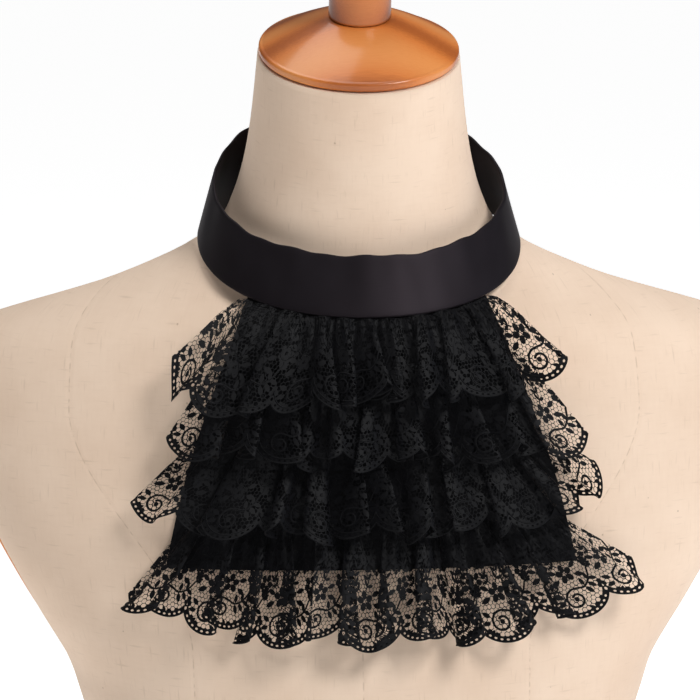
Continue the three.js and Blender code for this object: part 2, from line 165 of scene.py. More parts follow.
@dataclass(frozen=True)
class LinenCover:
    """Plain woven natural linen, stretched over a padded form: matt, with faint slubs and a few dark neps."""

    light: str = "#E8D0BA"
    dark: str = "#DFC5AE"
    nep: str = "#8A6B4E"
    thread_shade: str = "#A98D73"
    # Real threads lie 0.6 mm apart, too fine to show here, so the weave is drawn at 2 mm.
    weave: float = 2.0 * MM
    weave_weight: float = 0.16
    cloud: float = 60 * MM
    # Slubs are the few thick threads: only where the noise rises from the first level to the second.
    slub_length: float = 10 * MM
    slub_width: float = 1.2 * MM
    slub_levels: tuple[float, float] = (0.7, 0.9)
    slub_strength: float = 0.22
    # Neps are small dark knots, their radius a share of the space between them.
    nep_spacing: float = 17 * MM
    nep_share: float = 0.03
    nep_strength: float = 0.4
    # The side seams run up each half of the front, this far from the middle below the bend and above it.
    seam_low: float = 0.080
    seam_high: float = 0.138
    # The heights where the bend starts and ends.
    seam_bend: tuple[float, float] = (0.235, 0.345)
    seam_shift: float = 0.006
    # The middle seam shows only up to this height.
    middle_seam_top: float = 0.3
    seam_width: float = 0.5 * MM
    seam_strength: float = 0.5
    stitch: float = 3.2 * MM
    stitch_levels: tuple[float, float] = (0.42, 0.6)
    pucker_width: float = 2.2 * MM
    pucker_rise: float = 4.0
    relief: float = 0.06 * MM

    def both_ways(self, tree: NodeTree, flat: NodeSocket, width: float, detail: float) -> list[NodeSocket]:
        """Noise drawn out along the weft, and the same along the warp.

        Args:
            tree: the material's node tree.
            flat: the flat map of the cloth.
            width: the size of the noise across the threads.
            detail: how many finer layers of noise it has.

        Returns:
            The two values.
        """
        along, across = 1 / self.slub_length, 1 / width
        values = []
        for scale in ((along, across, 1), (across, along, 1)):
            laid = add_node(tree, "Mapping", {0: flat, 3: scale})
            noise = add_node(tree, "TexNoise", {"Vector": laid.outputs[0], "Scale": 1.0, "Detail": detail})
            values.append(noise.outputs["Fac"])
        return values

    def seam_distance(self, tree: NodeTree, flat: NodeSocket) -> NodeSocket:
        """The distance of each place on the cover from the nearest of its sewn seams.

        Args:
            tree: the material's node tree.
            flat: the flat map of the cloth.

        Returns:
            The distance in metres.
        """
        place = add_node(tree, "SeparateXYZ", {0: flat})
        moved = add_node(tree, "Math", {0: place.outputs["X"], 1: self.seam_shift}, operation="ADD")
        side = add_node(tree, "Math", {0: moved.outputs[0]}, operation="ABSOLUTE")
        low, high = self.seam_bend
        line = add_node(
            tree,
            "MapRange",
            {0: place.outputs["Y"], 1: low, 2: high, 3: self.seam_low, 4: self.seam_high},
            interpolation_type="SMOOTHSTEP",
        )
        away = add_node(tree, "Math", {0: side.outputs[0], 1: line.outputs[0]}, operation="SUBTRACT")
        span = add_node(tree, "Math", {0: away.outputs[0]}, operation="ABSOLUTE")
        # Above its top the middle seam counts as a metre further away, so that it never shows there.
        top = {0: place.outputs["Y"], 1: self.middle_seam_top}
        above = add_node(tree, "Math", top, operation="GREATER_THAN")
        middle = add_node(tree, "Math", {0: side.outputs[0], 1: above.outputs[0]}, operation="ADD")
        nearest = add_node(tree, "Math", {0: middle.outputs[0], 1: span.outputs[0]}, operation="MINIMUM")
        return nearest.outputs[0]

    def marks(self, tree: NodeTree, flat: NodeSocket, distance: NodeSocket) -> NodeSocket:
        """How strongly a sewing thread or a slub darkens each place.

        Args:
            tree: the material's node tree.
            flat: the flat map of the cloth.
            distance: the distance from the nearest seam.

        Returns:
            The strength, from 0 to 1.
        """
        near = {0: distance, 1: 0.0, 2: self.seam_width, 3: self.seam_strength, 4: 0.0}
        sewn = add_node(tree, "MapRange", near)
        broken = add_node(tree, "TexNoise", {"Vector": flat, "Scale": 1 / self.stitch, "Detail": 1.0})
        low, high = self.stitch_levels
        stitches = add_node(tree, "MapRange", {0: broken.outputs["Fac"], 1: low, 2: high, 3: 0.0, 4: 1.0})
        strength = add_node(tree, "Math", {0: sewn.outputs[0], 1: stitches.outputs[0]}, operation="MULTIPLY")
        low, high = self.slub_levels
        for value in self.both_ways(tree, flat, self.slub_width, 0.0):
            slub = add_node(tree, "MapRange", {0: value, 1: low, 2: high, 3: 0.0, 4: self.slub_strength})
            both = {0: strength.outputs[0], 1: slub.outputs[0]}
            strength = add_node(tree, "Math", both, operation="MAXIMUM")
        return strength.outputs[0]

    def material(self) -> Material:
        """Builds the cloth from its flat map: faint threads and slubs, sparse neps, and the sewn seams."""
        material, tree = new_material("natural_linen_plain_weave")
        flat = add_node(tree, "UVMap", uv_map="cloth").outputs[0]
        weft, warp = self.both_ways(tree, flat, self.weave, 2.0)
        threads = add_node(tree, "Math", {0: weft, 1: warp}, operation="ADD")
        cloudy = add_node(tree, "TexNoise", {"Vector": flat, "Scale": 1 / self.cloud, "Detail": 3.0})
        shades = {0: threads.outputs[0], 1: self.weave_weight, 2: cloudy.outputs["Fac"]}
        blend = add_node(tree, "Math", shades, operation="MULTIPLY_ADD")
        stops = ((0.45, self.dark), (0.8, self.light))
        tone = add_node(tree, "ValToRGB", {"Fac": blend.outputs[0]}, stops)
        specks = add_node(tree, "TexVoronoi", {"Vector": flat, "Scale": 1 / self.nep_spacing})
        near = {0: specks.outputs["Distance"], 1: self.nep_share}
        small = add_node(tree, "Math", near, operation="LESS_THAN")
        faint = add_node(tree, "Math", {0: small.outputs[0], 1: self.nep_strength}, operation="MULTIPLY")
        mixed = {0: faint.outputs[0], 6: tone.outputs[0], 7: linear(self.nep)}
        speckled = add_node(tree, "Mix", mixed, data_type="RGBA")
        distance = self.seam_distance(tree, flat)
        strength = self.marks(tree, flat, distance)
        mixed = {0: strength, 6: speckled.outputs[2], 7: linear(self.thread_shade)}
        colour = add_node(tree, "Mix", mixed, data_type="RGBA")
        rise = {0: distance, 1: 0.0, 2: self.pucker_width, 3: 0.0, 4: self.pucker_rise}
        pucker = add_node(tree, "MapRange", rise, interpolation_type="SMOOTHSTEP")
        height = add_node(tree, "Math", {0: threads.outputs[0], 1: pucker.outputs[0]}, operation="ADD")
        relief = {"Height": height.outputs[0], "Strength": 0.4, "Distance": self.relief}
        bump = add_node(tree, "Bump", relief)
        shader = add_node(
            tree,
            "BsdfPrincipled",
            {
                "Base Color": colour.outputs[2],
                "Roughness": 0.92,
                "Specular IOR Level": 0.2,
                "Sheen Weight": 0.08,
                "Sheen Roughness": 0.5,
                "Normal": bump.outputs[0],
            },
        )
        add_node(tree, "OutputMaterial", {"Surface": shader.outputs[0]})
        return material


@dataclass(frozen=True)
class VarnishedWood:
    """Turned wood, stained orange-brown and varnished: warm grain under a clear hard gloss."""

    name: str = "stained_varnished_beech_turned"
    light: str = "#DA8B4A"
    middle: str = "#CD7634"
    dark: str = "#A5561F"
    # This scale puts the bands of the figure about 31 mm apart, as in a thick turned blank.
    figure_scale: float = 10.0
    ring_axis: tuple[float, float, float] = (0.25, 1.0, 1.0)
    # Pores about 8 mm long and 0.7 mm across, as how many there are in a metre.
    pores: tuple[float, float, float] = (120.0, 1400.0, 1400.0)
    pore_weight: float = 0.4
    spread: float = 0.7

    def material(self) -> Material:
        """Builds long soft grain, fine pores and a clear coat."""
        material, tree = new_material(self.name)
        place = add_node(tree, "TexCoord").outputs["Object"]
        stretched = add_node(tree, "Mapping", {0: place, 3: self.ring_axis})
        figure = add_node(
            tree,
            "TexWave",
            {
                "Vector": stretched.outputs[0],
                "Scale": self.figure_scale,
                "Distortion": 3.0,
                "Detail": 2.0,
                "Detail Scale": 1.2,
            },
            bands_direction="Y",
        )
        drawn = add_node(tree, "Mapping", {0: place, 3: self.pores})
        pores = add_node(tree, "TexNoise", {"Vector": drawn.outputs[0], "Detail": 2.0, "Scale": 1.0})
        shades = {0: pores.outputs["Fac"], 1: self.pore_weight, 2: figure.outputs["Fac"]}
        blend = add_node(tree, "Math", shades, operation="MULTIPLY_ADD")
        part = add_node(tree, "Math", {0: blend.outputs[0], 1: self.spread}, operation="MULTIPLY")
        stops = ((0.15, self.dark), (0.45, self.middle), (0.85, self.light))
        tone = add_node(tree, "ValToRGB", {"Fac": part.outputs[0]}, stops)
        shader = add_node(
            tree,
            "BsdfPrincipled",
            {
                "Base Color": tone.outputs[0],
                "Roughness": 0.45,
                "IOR": 1.5,
                "Specular IOR Level": 0.3,
                "Coat Weight": 0.45,
                "Coat Roughness": 0.14,
                "Coat IOR": 1.5,
            },
        )
        add_node(tree, "OutputMaterial", {"Surface": shader.outputs[0]})
        return material


@dataclass(frozen=True)
class BlackSatin:
    """Polyester satin, folded double and pressed: near black, with a broad soft shine along the strip."""

    base: str = "#0A080A"
    lit: str = "#100E11"
    cloud: float = 30 * MM
    # Satin floats are about 0.1 mm wide, too fine to show, so the rib is drawn at 0.8 mm.
    rib: float = 0.8 * MM
    rib_length: float = 8 * MM
    relief: float = 0.1 * MM

    def material(self) -> Material:
        """Builds a fine lengthwise rib and slow changes of shade."""
        material, tree = new_material("black_polyester_satin_pressed")
        flat = add_node(tree, "UVMap", uv_map="cloth").outputs[0]
        slow = add_node(tree, "TexNoise", {"Vector": flat, "Scale": 1 / self.cloud, "Detail": 2.0})
        stops = ((0.35, self.base), (0.65, self.lit))
        tone = add_node(tree, "ValToRGB", {"Fac": slow.outputs["Fac"]}, stops)
        along = add_node(tree, "Mapping", {0: flat, 3: (1 / self.rib_length, 1 / self.rib, 1)})
        ribs = add_node(tree, "TexNoise", {"Vector": along.outputs[0], "Scale": 1.0, "Detail": 2.0})
        relief = {"Height": ribs.outputs["Fac"], "Strength": 0.25, "Distance": self.relief}
        bump = add_node(tree, "Bump", relief)
        shader = add_node(
            tree,
            "BsdfPrincipled",
            {
                "Base Color": tone.outputs[0],
                "Roughness": 0.56,
                "Specular IOR Level": 0.22,
                "Specular Tint": linear("#FAE4F3"),
                "Sheen Weight": 0.05,
                "Sheen Roughness": 0.3,
                "Sheen Tint": linear("#9A8296"),
                "Normal": bump.outputs[0],
            },
        )
        add_node(tree, "OutputMaterial", {"Surface": shader.outputs[0]})
        return material


@dataclass(frozen=True)
class BlackCloth:
    """Plain black cloth, such as the lining behind the lace or hook-and-loop tape: matt and even."""

    name: str
    lit: str
    nap: float
    relief: float
    base: str = "#0A0A0C"

    def material(self) -> Material:
        """Builds an even dark cloth with a fine nap."""
        material, tree = new_material(self.name)
        flat = add_node(tree, "UVMap", uv_map="cloth").outputs[0]
        nap = add_node(tree, "TexNoise", {"Vector": flat, "Scale": 1 / self.nap, "Detail": 2.0})
        stops = ((0.3, self.base), (0.7, self.lit))
        tone = add_node(tree, "ValToRGB", {"Fac": nap.outputs["Fac"]}, stops)
        relief = {"Height": nap.outputs["Fac"], "Strength": 0.5, "Distance": self.relief}
        bump = add_node(tree, "Bump", relief)
        shader = add_node(
            tree,
            "BsdfPrincipled",
            {
                "Base Color": tone.outputs[0],
                "Roughness": 0.9,
                "Specular IOR Level": 0.2,
                "Normal": bump.outputs[0],
            },
        )
        add_node(tree, "OutputMaterial", {"Surface": shader.outputs[0]})
        return material


@dataclass(frozen=True)
class LaceThread:
    """Black nylon and cotton lace thread: matt ground threads, with a faint shine on the thick cords."""

    base: str = "#040406"
    lit: str = "#08080C"
    # The twist of a cord repeats every 1.2 mm, which shows as small flecks of light.
    twist: float = 1.2 * MM

    def material(self) -> Material:
        """Builds the thread with its twist as small changes of shade."""
        material, tree = new_material("black_nylon_lace_thread_twisted")
        place = add_node(tree, "TexCoord").outputs["Object"]
        twist = add_node(tree, "TexNoise", {"Vector": place, "Scale": 1 / self.twist, "Detail": 1.0})
        stops = ((0.35, self.base), (0.7, self.lit))
        tone = add_node(tree, "ValToRGB", {"Fac": twist.outputs["Fac"]}, stops)
        shader = add_node(
            tree,
            "BsdfPrincipled",
            {
                "Base Color": tone.outputs[0],
                "Roughness": 0.6,
                "Specular IOR Level": 0.15,
                "Sheen Weight": 0.01,
                "Sheen Roughness": 0.4,
            },
        )
        add_node(tree, "OutputMaterial", {"Surface": shader.outputs[0]})
        return material


@dataclass
class Finishes:
    """The part's finishes, each built once and shared by the pieces of its slot."""

    made: dict[Slot, Material] = field(default_factory=dict)

    def __post_init__(self) -> None:
        """Builds every material."""
        lining = BlackCloth("black_cotton_lining_woven", "#131215", 0.9 * MM, 0.1 * MM)
        tape = BlackCloth("black_nylon_hook_and_loop", "#1C1B1E", 0.7 * MM, 0.4 * MM)
        self.made = {
            Slot.LINEN: LinenCover().material(),
            Slot.WOOD: VarnishedWood().material(),
            Slot.SATIN: BlackSatin().material(),
            Slot.BACKING: lining.material(),
            Slot.LACE: LaceThread().material(),
            Slot.FASTENER: tape.material(),
        }

    def dress(
        self,
        name: str,
        mesh: Mesh,
        slot: Slot,
        *nodes: str,
        finish: Material | None = None,
    ) -> Object:
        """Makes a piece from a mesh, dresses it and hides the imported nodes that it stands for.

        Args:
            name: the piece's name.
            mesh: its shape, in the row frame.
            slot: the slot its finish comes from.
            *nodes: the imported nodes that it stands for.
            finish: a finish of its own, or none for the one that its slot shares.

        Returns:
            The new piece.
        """
        piece = bpy.data.objects.new(name, mesh)
        bpy.context.scene.collection.objects.link(piece)
        mesh.materials.append(finish or self.made[slot])
        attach(piece, ROOT)
        if nodes:
            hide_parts(*nodes)
        log.info("%s: %d faces in %s", name, len(mesh.polygons), slot.value)
        return piece


def build_mesh(
    name: str,
    points: Array,
    faces: Array,
    flat: Array | None = None,
) -> Mesh:
    """Builds a smooth-shaded mesh whose faces all have the same number of corners.

    Args:
        name: the mesh's name.
        points: one row of x, y and z for each vertex, in metres, round the axis of the neck.
        faces: one row of vertex numbers for each face.
        flat: one row of flat cloth coordinates for each vertex, in metres, or none.

    Returns:
        The mesh, moved back to the row frame.
    """
    placed = np.asarray(points, dtype=np.float64) + np.array([0.0, SETBACK, 0.0])
    faces = np.asarray(faces, dtype=np.int32)
    corners = faces.shape[1]
    mesh = bpy.data.meshes.new(name)
    mesh.vertices.add(len(placed))
    mesh.vertices.foreach_set("co", placed.astype(np.float32).ravel())
    mesh.loops.add(faces.size)
    mesh.loops.foreach_set("vertex_index", faces.ravel())
    mesh.polygons.add(len(faces))
    mesh.polygons.foreach_set("loop_start", np.arange(0, faces.size, corners, dtype=np.int32))
    mesh.polygons.foreach_set("use_smooth", np.ones(len(faces), dtype=bool))
    if flat is not None:
        layer = mesh.uv_layers.new(name="cloth")
        layer.data.foreach_set("uv", np.asarray(flat, dtype=np.float32)[faces.ravel()].ravel())
    mesh.update(calc_edges=True)
    mesh.validate()
    return mesh


def grid_faces(rows: int, columns: int, wrap: bool = False) -> Array:
    """Quads over a grid of vertices numbered row by row.

    Args:
        rows: the number of rows of vertices.
        columns: the number of vertices in a row.
        wrap: whether the last column joins the first.

    Returns:
        One row of four vertex numbers for each quad.
    """
    row = np.arange(rows - 1)[:, None] * columns
    column = np.arange(columns if wrap else columns - 1)[None, :]
    after = (column + 1) % columns
    quads = np.stack([row + column, row + after, row + columns + after, row + columns + column], axis=-1)
    return quads.reshape(-1, 4)


@dataclass(frozen=True)
class Section:
    """One horizontal section of the form, in metres: squareness is the exponent of its outline."""

    height: float
    half_width: float
    front: float
    back: float
    squareness: float
    tilt: float = 0.0


FORM_SECTIONS = (
    Section(0.000, 0.126, -0.089, 0.072, 2.20),
    Section(0.028, 0.121, -0.087, 0.067, 2.15),
    Section(0.062, 0.1185, -0.087, 0.065, 2.10),
    Section(0.100, 0.121, -0.094, 0.071, 2.10),
    Section(0.140, 0.127, -0.106, 0.080, 2.15),
    Section(0.170, 0.134, -0.117, 0.086, 2.20),
    Section(0.197, 0.141, -0.123, 0.090, 2.25),
    Section(0.216, 0.148, -0.1203, 0.0924, 2.25),
    Section(0.246, 0.169, -0.112, 0.095, 2.25),
    Section(0.275, 0.190, -0.103, 0.096, 2.25),
    Section(0.310, 0.208, -0.092, 0.095, 2.20),
    Section(0.340, 0.215, -0.084, 0.093, 2.10),
    Section(0.360, 0.211, -0.079, 0.090, 1.95),
    Section(0.374, 0.198, -0.075, 0.087, 1.80),
    Section(0.382, 0.175, -0.073, 0.086, 1.70),
    Section(0.389, 0.151, -0.071, 0.084, 1.50),
    Section(0.396, 0.127, -0.068, 0.082, 1.43),
    Section(0.404, 0.106, -0.065, 0.079, 1.45),
    Section(0.413, 0.086, -0.062, 0.076, 1.60, 1.0),
    Section(0.424, 0.070, -0.059, 0.071, 1.80, 3.5),
    Section(0.438, 0.062, -0.057, 0.065, 2.00, 7.0),
    Section(0.456, 0.0565, -0.055, 0.057, 2.00, 11.0),
    Section(0.476, 0.053, -0.0535, 0.050, 2.00, 15.0),
    Section(0.508, 0.0495, -0.051, 0.0435, 2.00, 19.5),
)


@dataclass(frozen=True)
class BodyShape:
    """The dress form's surface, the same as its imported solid's, at any height."""

    sections: tuple[Section, ...] = FORM_SECTIONS
    armhole_outward: float = 0.1775
    armhole_height: float = 0.2785
    armhole_slope: float = 0.5
    armhole_foot: float = 0.216
    armhole_release: float = 1.5
    armhole_softness: float = 0.0008
    # The depth of the front is read no further out than this share of the half width.
    widest_share: float = 0.97

    def read(self, height: Array, column: str) -> Array:
        """One column of the section table, on a smooth cubic through its rows.

        Args:
            height: the heights to read it at.
            column: the name of the column.

        Returns:
            One value for each height.
        """
        heights = np.array([row.height for row in self.sections])
        values = np.array([getattr(row, column) for row in self.sections])
        last = len(heights) - 1
        before = np.maximum(np.arange(last + 1) - 1, 0)
        after = np.minimum(np.arange(last + 1) + 1, last)
        slopes = (values[after] - values[before]) / (heights[after] - heights[before])
        low = np.clip(np.searchsorted(heights, height, side="right") - 1, 0, last - 1)
        span = heights[low + 1] - heights[low]
        t = np.clip((height - heights[low]) / span, 0.0, 1.0)
        return (
            values[low] * (1 + 2 * t) * (1 - t) ** 2
            + slopes[low] * span * t * (1 - t) ** 2
            + values[low + 1] * t * t * (3 - 2 * t)
            - slopes[low + 1] * span * t * t * (1 - t)
        )

    def point(self, height: Array, angle: Array) -> Array:
        """Points of the surface.

        Args:
            height: the height of each.
            angle: its angle round the section, in radians.

        Returns:
            The points.
        """
        front, back = self.read(height, "front"), self.read(height, "back")
        exponent = 2 / self.read(height, "squareness")
        across = self.read(height, "half_width") * power(np.cos(angle), exponent)
        in_depth = (back - front) / 2 * power(np.sin(angle), exponent)
        limit = self.armhole_outward + (height - self.armhole_height) * self.armhole_slope
        limit = limit + np.maximum(0, self.armhole_foot - height) * self.armhole_release
        soft = self.armhole_softness
        across = np.sign(across) * (limit - soft * np.logaddexp(0.0, (limit - np.abs(across)) / soft))
        across = np.where(np.abs(across) < 1e-9, 0.0, across)
        tilt = np.radians(self.read(height, "tilt"))
        return np.stack([across, (front + back) / 2 + in_depth, height + in_depth * np.tan(tilt)], axis=-1)

    def front_depth(self, x: Array, height: Array) -> Array:
        """The depth of the front surface at places on the chest.

        Args:
            x: how far each place is across from the middle.
            height: its height.

        Returns:
            The depths.
        """
        front, back = self.read(height, "front"), self.read(height, "back")
        squareness = self.read(height, "squareness")
        share = np.minimum(np.abs(x) / self.read(height, "half_width"), self.widest_share)
        return (front + back) / 2 - (back - front) / 2 * (1 - share**squareness) ** (1 / squareness)


@dataclass(frozen=True)
class Chest:
    """The line that the jabot lies along, from under the neckband down over the chest."""

    body: BodyShape
    slope: float = 0.925
    clearance: float = 0.0019
    band_gap: float = 0.0018
    band_thickness: float = 0.0016
    rise_half_width: float = 0.060
    rise_fade: float = 0.070
    blend: float = 0.095
    seam_height: float = 0.390
    band_half_width: float = 0.080
    band_half_depth: float = 0.0765
    band_centre: float = -0.0065
    band_rise: float = 0.060
    rise_exponent: float = 1.15
    step: float = 0.0005

    def surface(self, x: Array, drop: Array) -> Array:
        """Points under the cloth.

        Args:
            x: how far each is across from the middle.
            drop: how far it is below the band, along the chest.

        Returns:
            The points.
        """
        reach = np.minimum(np.abs(x), self.rise_half_width)
        turn = np.arcsin(reach / self.band_half_width)
        rise = self.band_rise * ((1 - np.cos(turn)) / 2) ** self.rise_exponent
        fade = np.clip(1 - np.maximum(drop, 0) / self.rise_fade, 0, 1) ** 2
        height = self.seam_height - self.slope * drop + rise * fade
        at_band = self.band_centre - self.band_half_depth * np.cos(turn) + self.band_thickness + self.band_gap
        at_top = self.body.front_depth(reach, self.seam_height + rise) - at_band
        gap = mix(at_top, self.clearance, ease(drop / self.blend))
        return np.stack([x, self.body.front_depth(x, height) - gap, height], axis=-1)

    def over(self, x: Array, drop: Array, off: Array) -> Array:
        """Points that stand off the surface, along its outward direction.

        Args:
            x: how far each is across from the middle.
            drop: how far it is below the band, along the chest.
            off: how far it stands off.

        Returns:
            The points.
        """
        down = self.surface(x, drop + self.step) - self.surface(x, drop - self.step)
        across = self.surface(x + self.step, drop) - self.surface(x - self.step, drop)
        return self.surface(x, drop) + np.expand_dims(off, -1) * unit(np.cross(down, across))


@dataclass
class DressForm:
    """The limbless form: padded body, two armhole plates, and the turned cap and knob on the neck."""

    body: BodyShape
    finishes: Finishes
    columns: int = 241
    rows: int = 150
    # The rings that close the body's two ends, as shares of the way to its middle.
    closing: tuple[float, ...] = (0.008, 0.04, 0.4, 0.999)
    plate_half_height: float = 0.0685
    plate_half_width: float = 0.034
    plate_thickness: float = 0.0026
    plate_edge: float = 0.0009
    plate_gap: float = 0.0003
    plate_dome: float = 0.0004
    # The rings on the plate's face, as shares of its outline.
    plate_rings: tuple[float, ...] = (0.75, 0.5, 0.25, 0.001)
    cap_radius: float = 0.049
    cap_rim: float = 0.0046
    cap_edge: float = 0.0016
    cap_dome: float = 0.0145
    cap_crown: float = 1.2
    cap_seat: float = 0.017
    knob_foot: float = 0.0153
    knob_waist: float = 0.015
    knob_head: float = 0.018
    knob_height: float = 0.040
    knob_head_height: float = 0.016
    knob_bevel: float = 0.0005
    turning_sides: int = 128
    edge_steps: int = 7
    dome_steps: int = 40
    stem_steps: int = 30
    head_steps: int = 24

    def build(self) -> None:
        """Builds and dresses the form's five pieces."""
        self.build_body()
        for side, name in ((-1, "left"), (1, "right")):
            self.build_plate(side, name)
        self.build_neck_top()

    def build_body(self) -> None:
        """The padded body as one closed skin, with the flat map of its cover."""
        heights = np.linspace(0, self.body.sections[-1].height, self.rows)
        angles = np.linspace(0.5 * math.pi, 2.5 * math.pi, self.columns)
        height, angle = np.meshgrid(heights, angles, indexing="ij")
        wall = self.body.point(height, angle)
        steps = np.linalg.norm(np.diff(wall, axis=1), axis=-1)
        along = np.concatenate([np.zeros((self.rows, 1)), np.cumsum(steps, axis=1)], axis=1)
        along -= along[:, [self.columns // 2]]
        flat = np.stack([along, height], axis=-1)
        shares = 1 - np.array(self.closing)
        axis = wall[-1].mean(axis=0)
        low = [wall[0] * np.array([share, share, 1]) for share in shares[::-1]]
        high = [axis + (wall[-1] - axis) * share for share in shares]
        points = np.concatenate([low, wall, high])
        low_map = [flat[0] * share for share in shares[::-1]]
        high_map = [flat[-1] * share for share in shares]
        flats = np.concatenate([low_map, flat, high_map])
        faces = grid_faces(len(points), self.columns)
        mesh = build_mesh("padded_body", points.reshape(-1, 3), faces, flats.reshape(-1, 2))
        piece = self.finishes.dress("padded_body", mesh, Slot.LINEN, "form_torso")

    def rounded(self, edge: float, thick: float) -> tuple[Array, Array]:
        """The rounded edge of a board, from its foot to its face.

        Args:
            edge: the radius of the rounding.
            thick: the board's thickness.

        Returns:
            How far each step of it is cut back from the outline, and the level of the step.
        """
        quarter = np.linspace(0, 0.5 * math.pi, self.edge_steps)
        steep, shallow = edge * (1 - np.sin(quarter)), edge * (1 - np.cos(quarter))
        return np.concatenate([steep, shallow]), np.concatenate([shallow, thick - steep])

    def build_plate(self, side: int, name: str) -> None:
        """One oval armhole plate, with a softly rounded edge and a slightly domed face.

        Args:
            side: -1 for the side at the viewer's left, 1 for the other.
            name: "left" or "right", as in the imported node's name.
        """
        edge, thick = self.plate_edge, self.plate_thickness
        cuts, levels = self.rounded(edge, thick)
        crown = [(thick + self.plate_dome * (1 - share**2), edge, share) for share in self.plate_rings]
        # Each ring has a level, a cut back from the plate's outline, and a share of what is left.
        foot = [(0.0, 0.0, 0.001), (0.0, 0.0, 0.5), (0.0, edge, 1.0)]
        rings = np.array([*foot, *zip(levels, cuts, np.ones(len(cuts))), *crown])
        level, cut, share = rings.T[..., None]
        turn = np.linspace(0, 2 * math.pi, self.turning_sides, endpoint=False)
        along = level + self.plate_gap
        depth = (self.plate_half_width - cut) * np.cos(turn) * share
        up = (self.plate_half_height - cut) * np.sin(turn) * share
        lean = math.atan(self.body.armhole_slope)
        outward = along * math.cos(lean) + up * math.sin(lean)
        points = np.stack([outward, depth, up * math.cos(lean) - along * math.sin(lean)], axis=-1)
        points += np.array([self.body.armhole_outward, ARMHOLE_DEPTH, self.body.armhole_height])
        points[..., 0] *= side
        faces = grid_faces(len(points), self.turning_sides, wrap=True)
        if side > 0:
            faces = faces[:, ::-1]
        mesh = build_mesh(f"armhole_plate_{name}_wood", points.reshape(-1, 3), faces)
        self.finishes.dress(f"armhole_plate_{name}_wood", mesh, Slot.WOOD, f"armhole_plate_{name}")

    def turned(self, name: str, radii: Array, levels: Array) -> Mesh:
        """Turns a profile round the tilted axis of the neck.

        Args:
            name: the mesh's name.
            radii: the profile's distances from the axis.
            levels: its distances above the neck's cut.

        Returns:
            The turned mesh.
        """
        last = self.body.sections[-1]
        tilt = math.radians(last.tilt)
        turn = np.linspace(0, 2 * math.pi, self.turning_sides, endpoint=False)
        radius, angle = np.meshgrid(np.maximum(radii, 1e-5), turn, indexing="ij")
        level = np.repeat(np.asarray(levels)[:, None], self.turning_sides, axis=1) + self.plate_gap
        x, y = radius * np.cos(angle), radius * np.sin(angle)
        placed = np.stack(
            [
                x,
                y * math.cos(tilt) - level * math.sin(tilt) + (last.front + last.back) / 2,
                y * math.sin(tilt) + level * math.cos(tilt) + last.height,
            ],
            axis=-1,
        )
        faces = grid_faces(len(radii), self.turning_sides, wrap=True)
        return build_mesh(name, placed.reshape(-1, 3), faces)

    def build_neck_top(self) -> None:
        """The turned cap with its low dome, and the knob that stands on it."""
        rim, radius = self.cap_rim, self.cap_radius
        cut, level = self.rounded(self.cap_edge, rim)
        share = np.linspace(0.02, 1, self.dome_steps)
        slope = mix(radius - self.cap_edge, self.cap_seat, share)
        dome = rim + self.cap_dome * (self.cap_crown * share - (self.cap_crown - 1) * share**2)
        radii = np.concatenate([[0.0, radius / 2], radius - cut, slope, [self.cap_seat / 2, 0.0]])
        levels = np.concatenate([[0.0, 0.0], level, dome, [rim + self.cap_dome] * 2])
        mesh = self.turned("neck_cap_wood", radii, levels)
        self.finishes.dress("neck_cap_wood", mesh, Slot.WOOD, "neck_cap")
        foot, bevel, stem = self.knob_foot, self.knob_bevel, self.knob_height - self.knob_head_height
        share = np.linspace(0, 1, self.stem_steps)
        waist = (foot - self.knob_waist) * np.sin(share * math.pi)
        sides = mix(foot, self.knob_head, share**3) - waist
        turn = np.linspace(0.04, 0.5 * math.pi, self.head_steps)
        radii = np.concatenate([[0.0, foot / 2, foot - bevel], sides, self.knob_head * np.cos(turn)])
        head = stem + self.knob_head_height * np.sin(turn)
        levels = np.concatenate([[0.0, 0.0, 0.0], bevel + share * (stem - bevel), head])
        mesh = self.turned("neck_knob_wood", radii, levels + (rim + self.cap_dome + self.plate_gap))
        # The knob gets a darker copy of the cap's wood: its darker colours are painted shade on the knob.
        knob_wood_painted_shade = VarnishedWood("varnished_beech_knob_painted_shade", "#C4763A", "#AE602A", "#7E3E16")
        self.finishes.dress("neck_knob_wood", mesh, Slot.WOOD, "neck_knob", finish=knob_wood_painted_shade.material())


@dataclass(frozen=True)
class BandEdge:
    """One long edge of the neckband, an oval seen from above that rises to the back and sags behind."""

    height: float
    half_width: float
    centre: float
    half_depth: float
    rise: float
    sag: float


@dataclass(frozen=True)
class Crease:
    """One slanting crease of the band, in degrees round the neck, with its share of the depth."""

    place: float
    slant: float
    width: float
    share: float


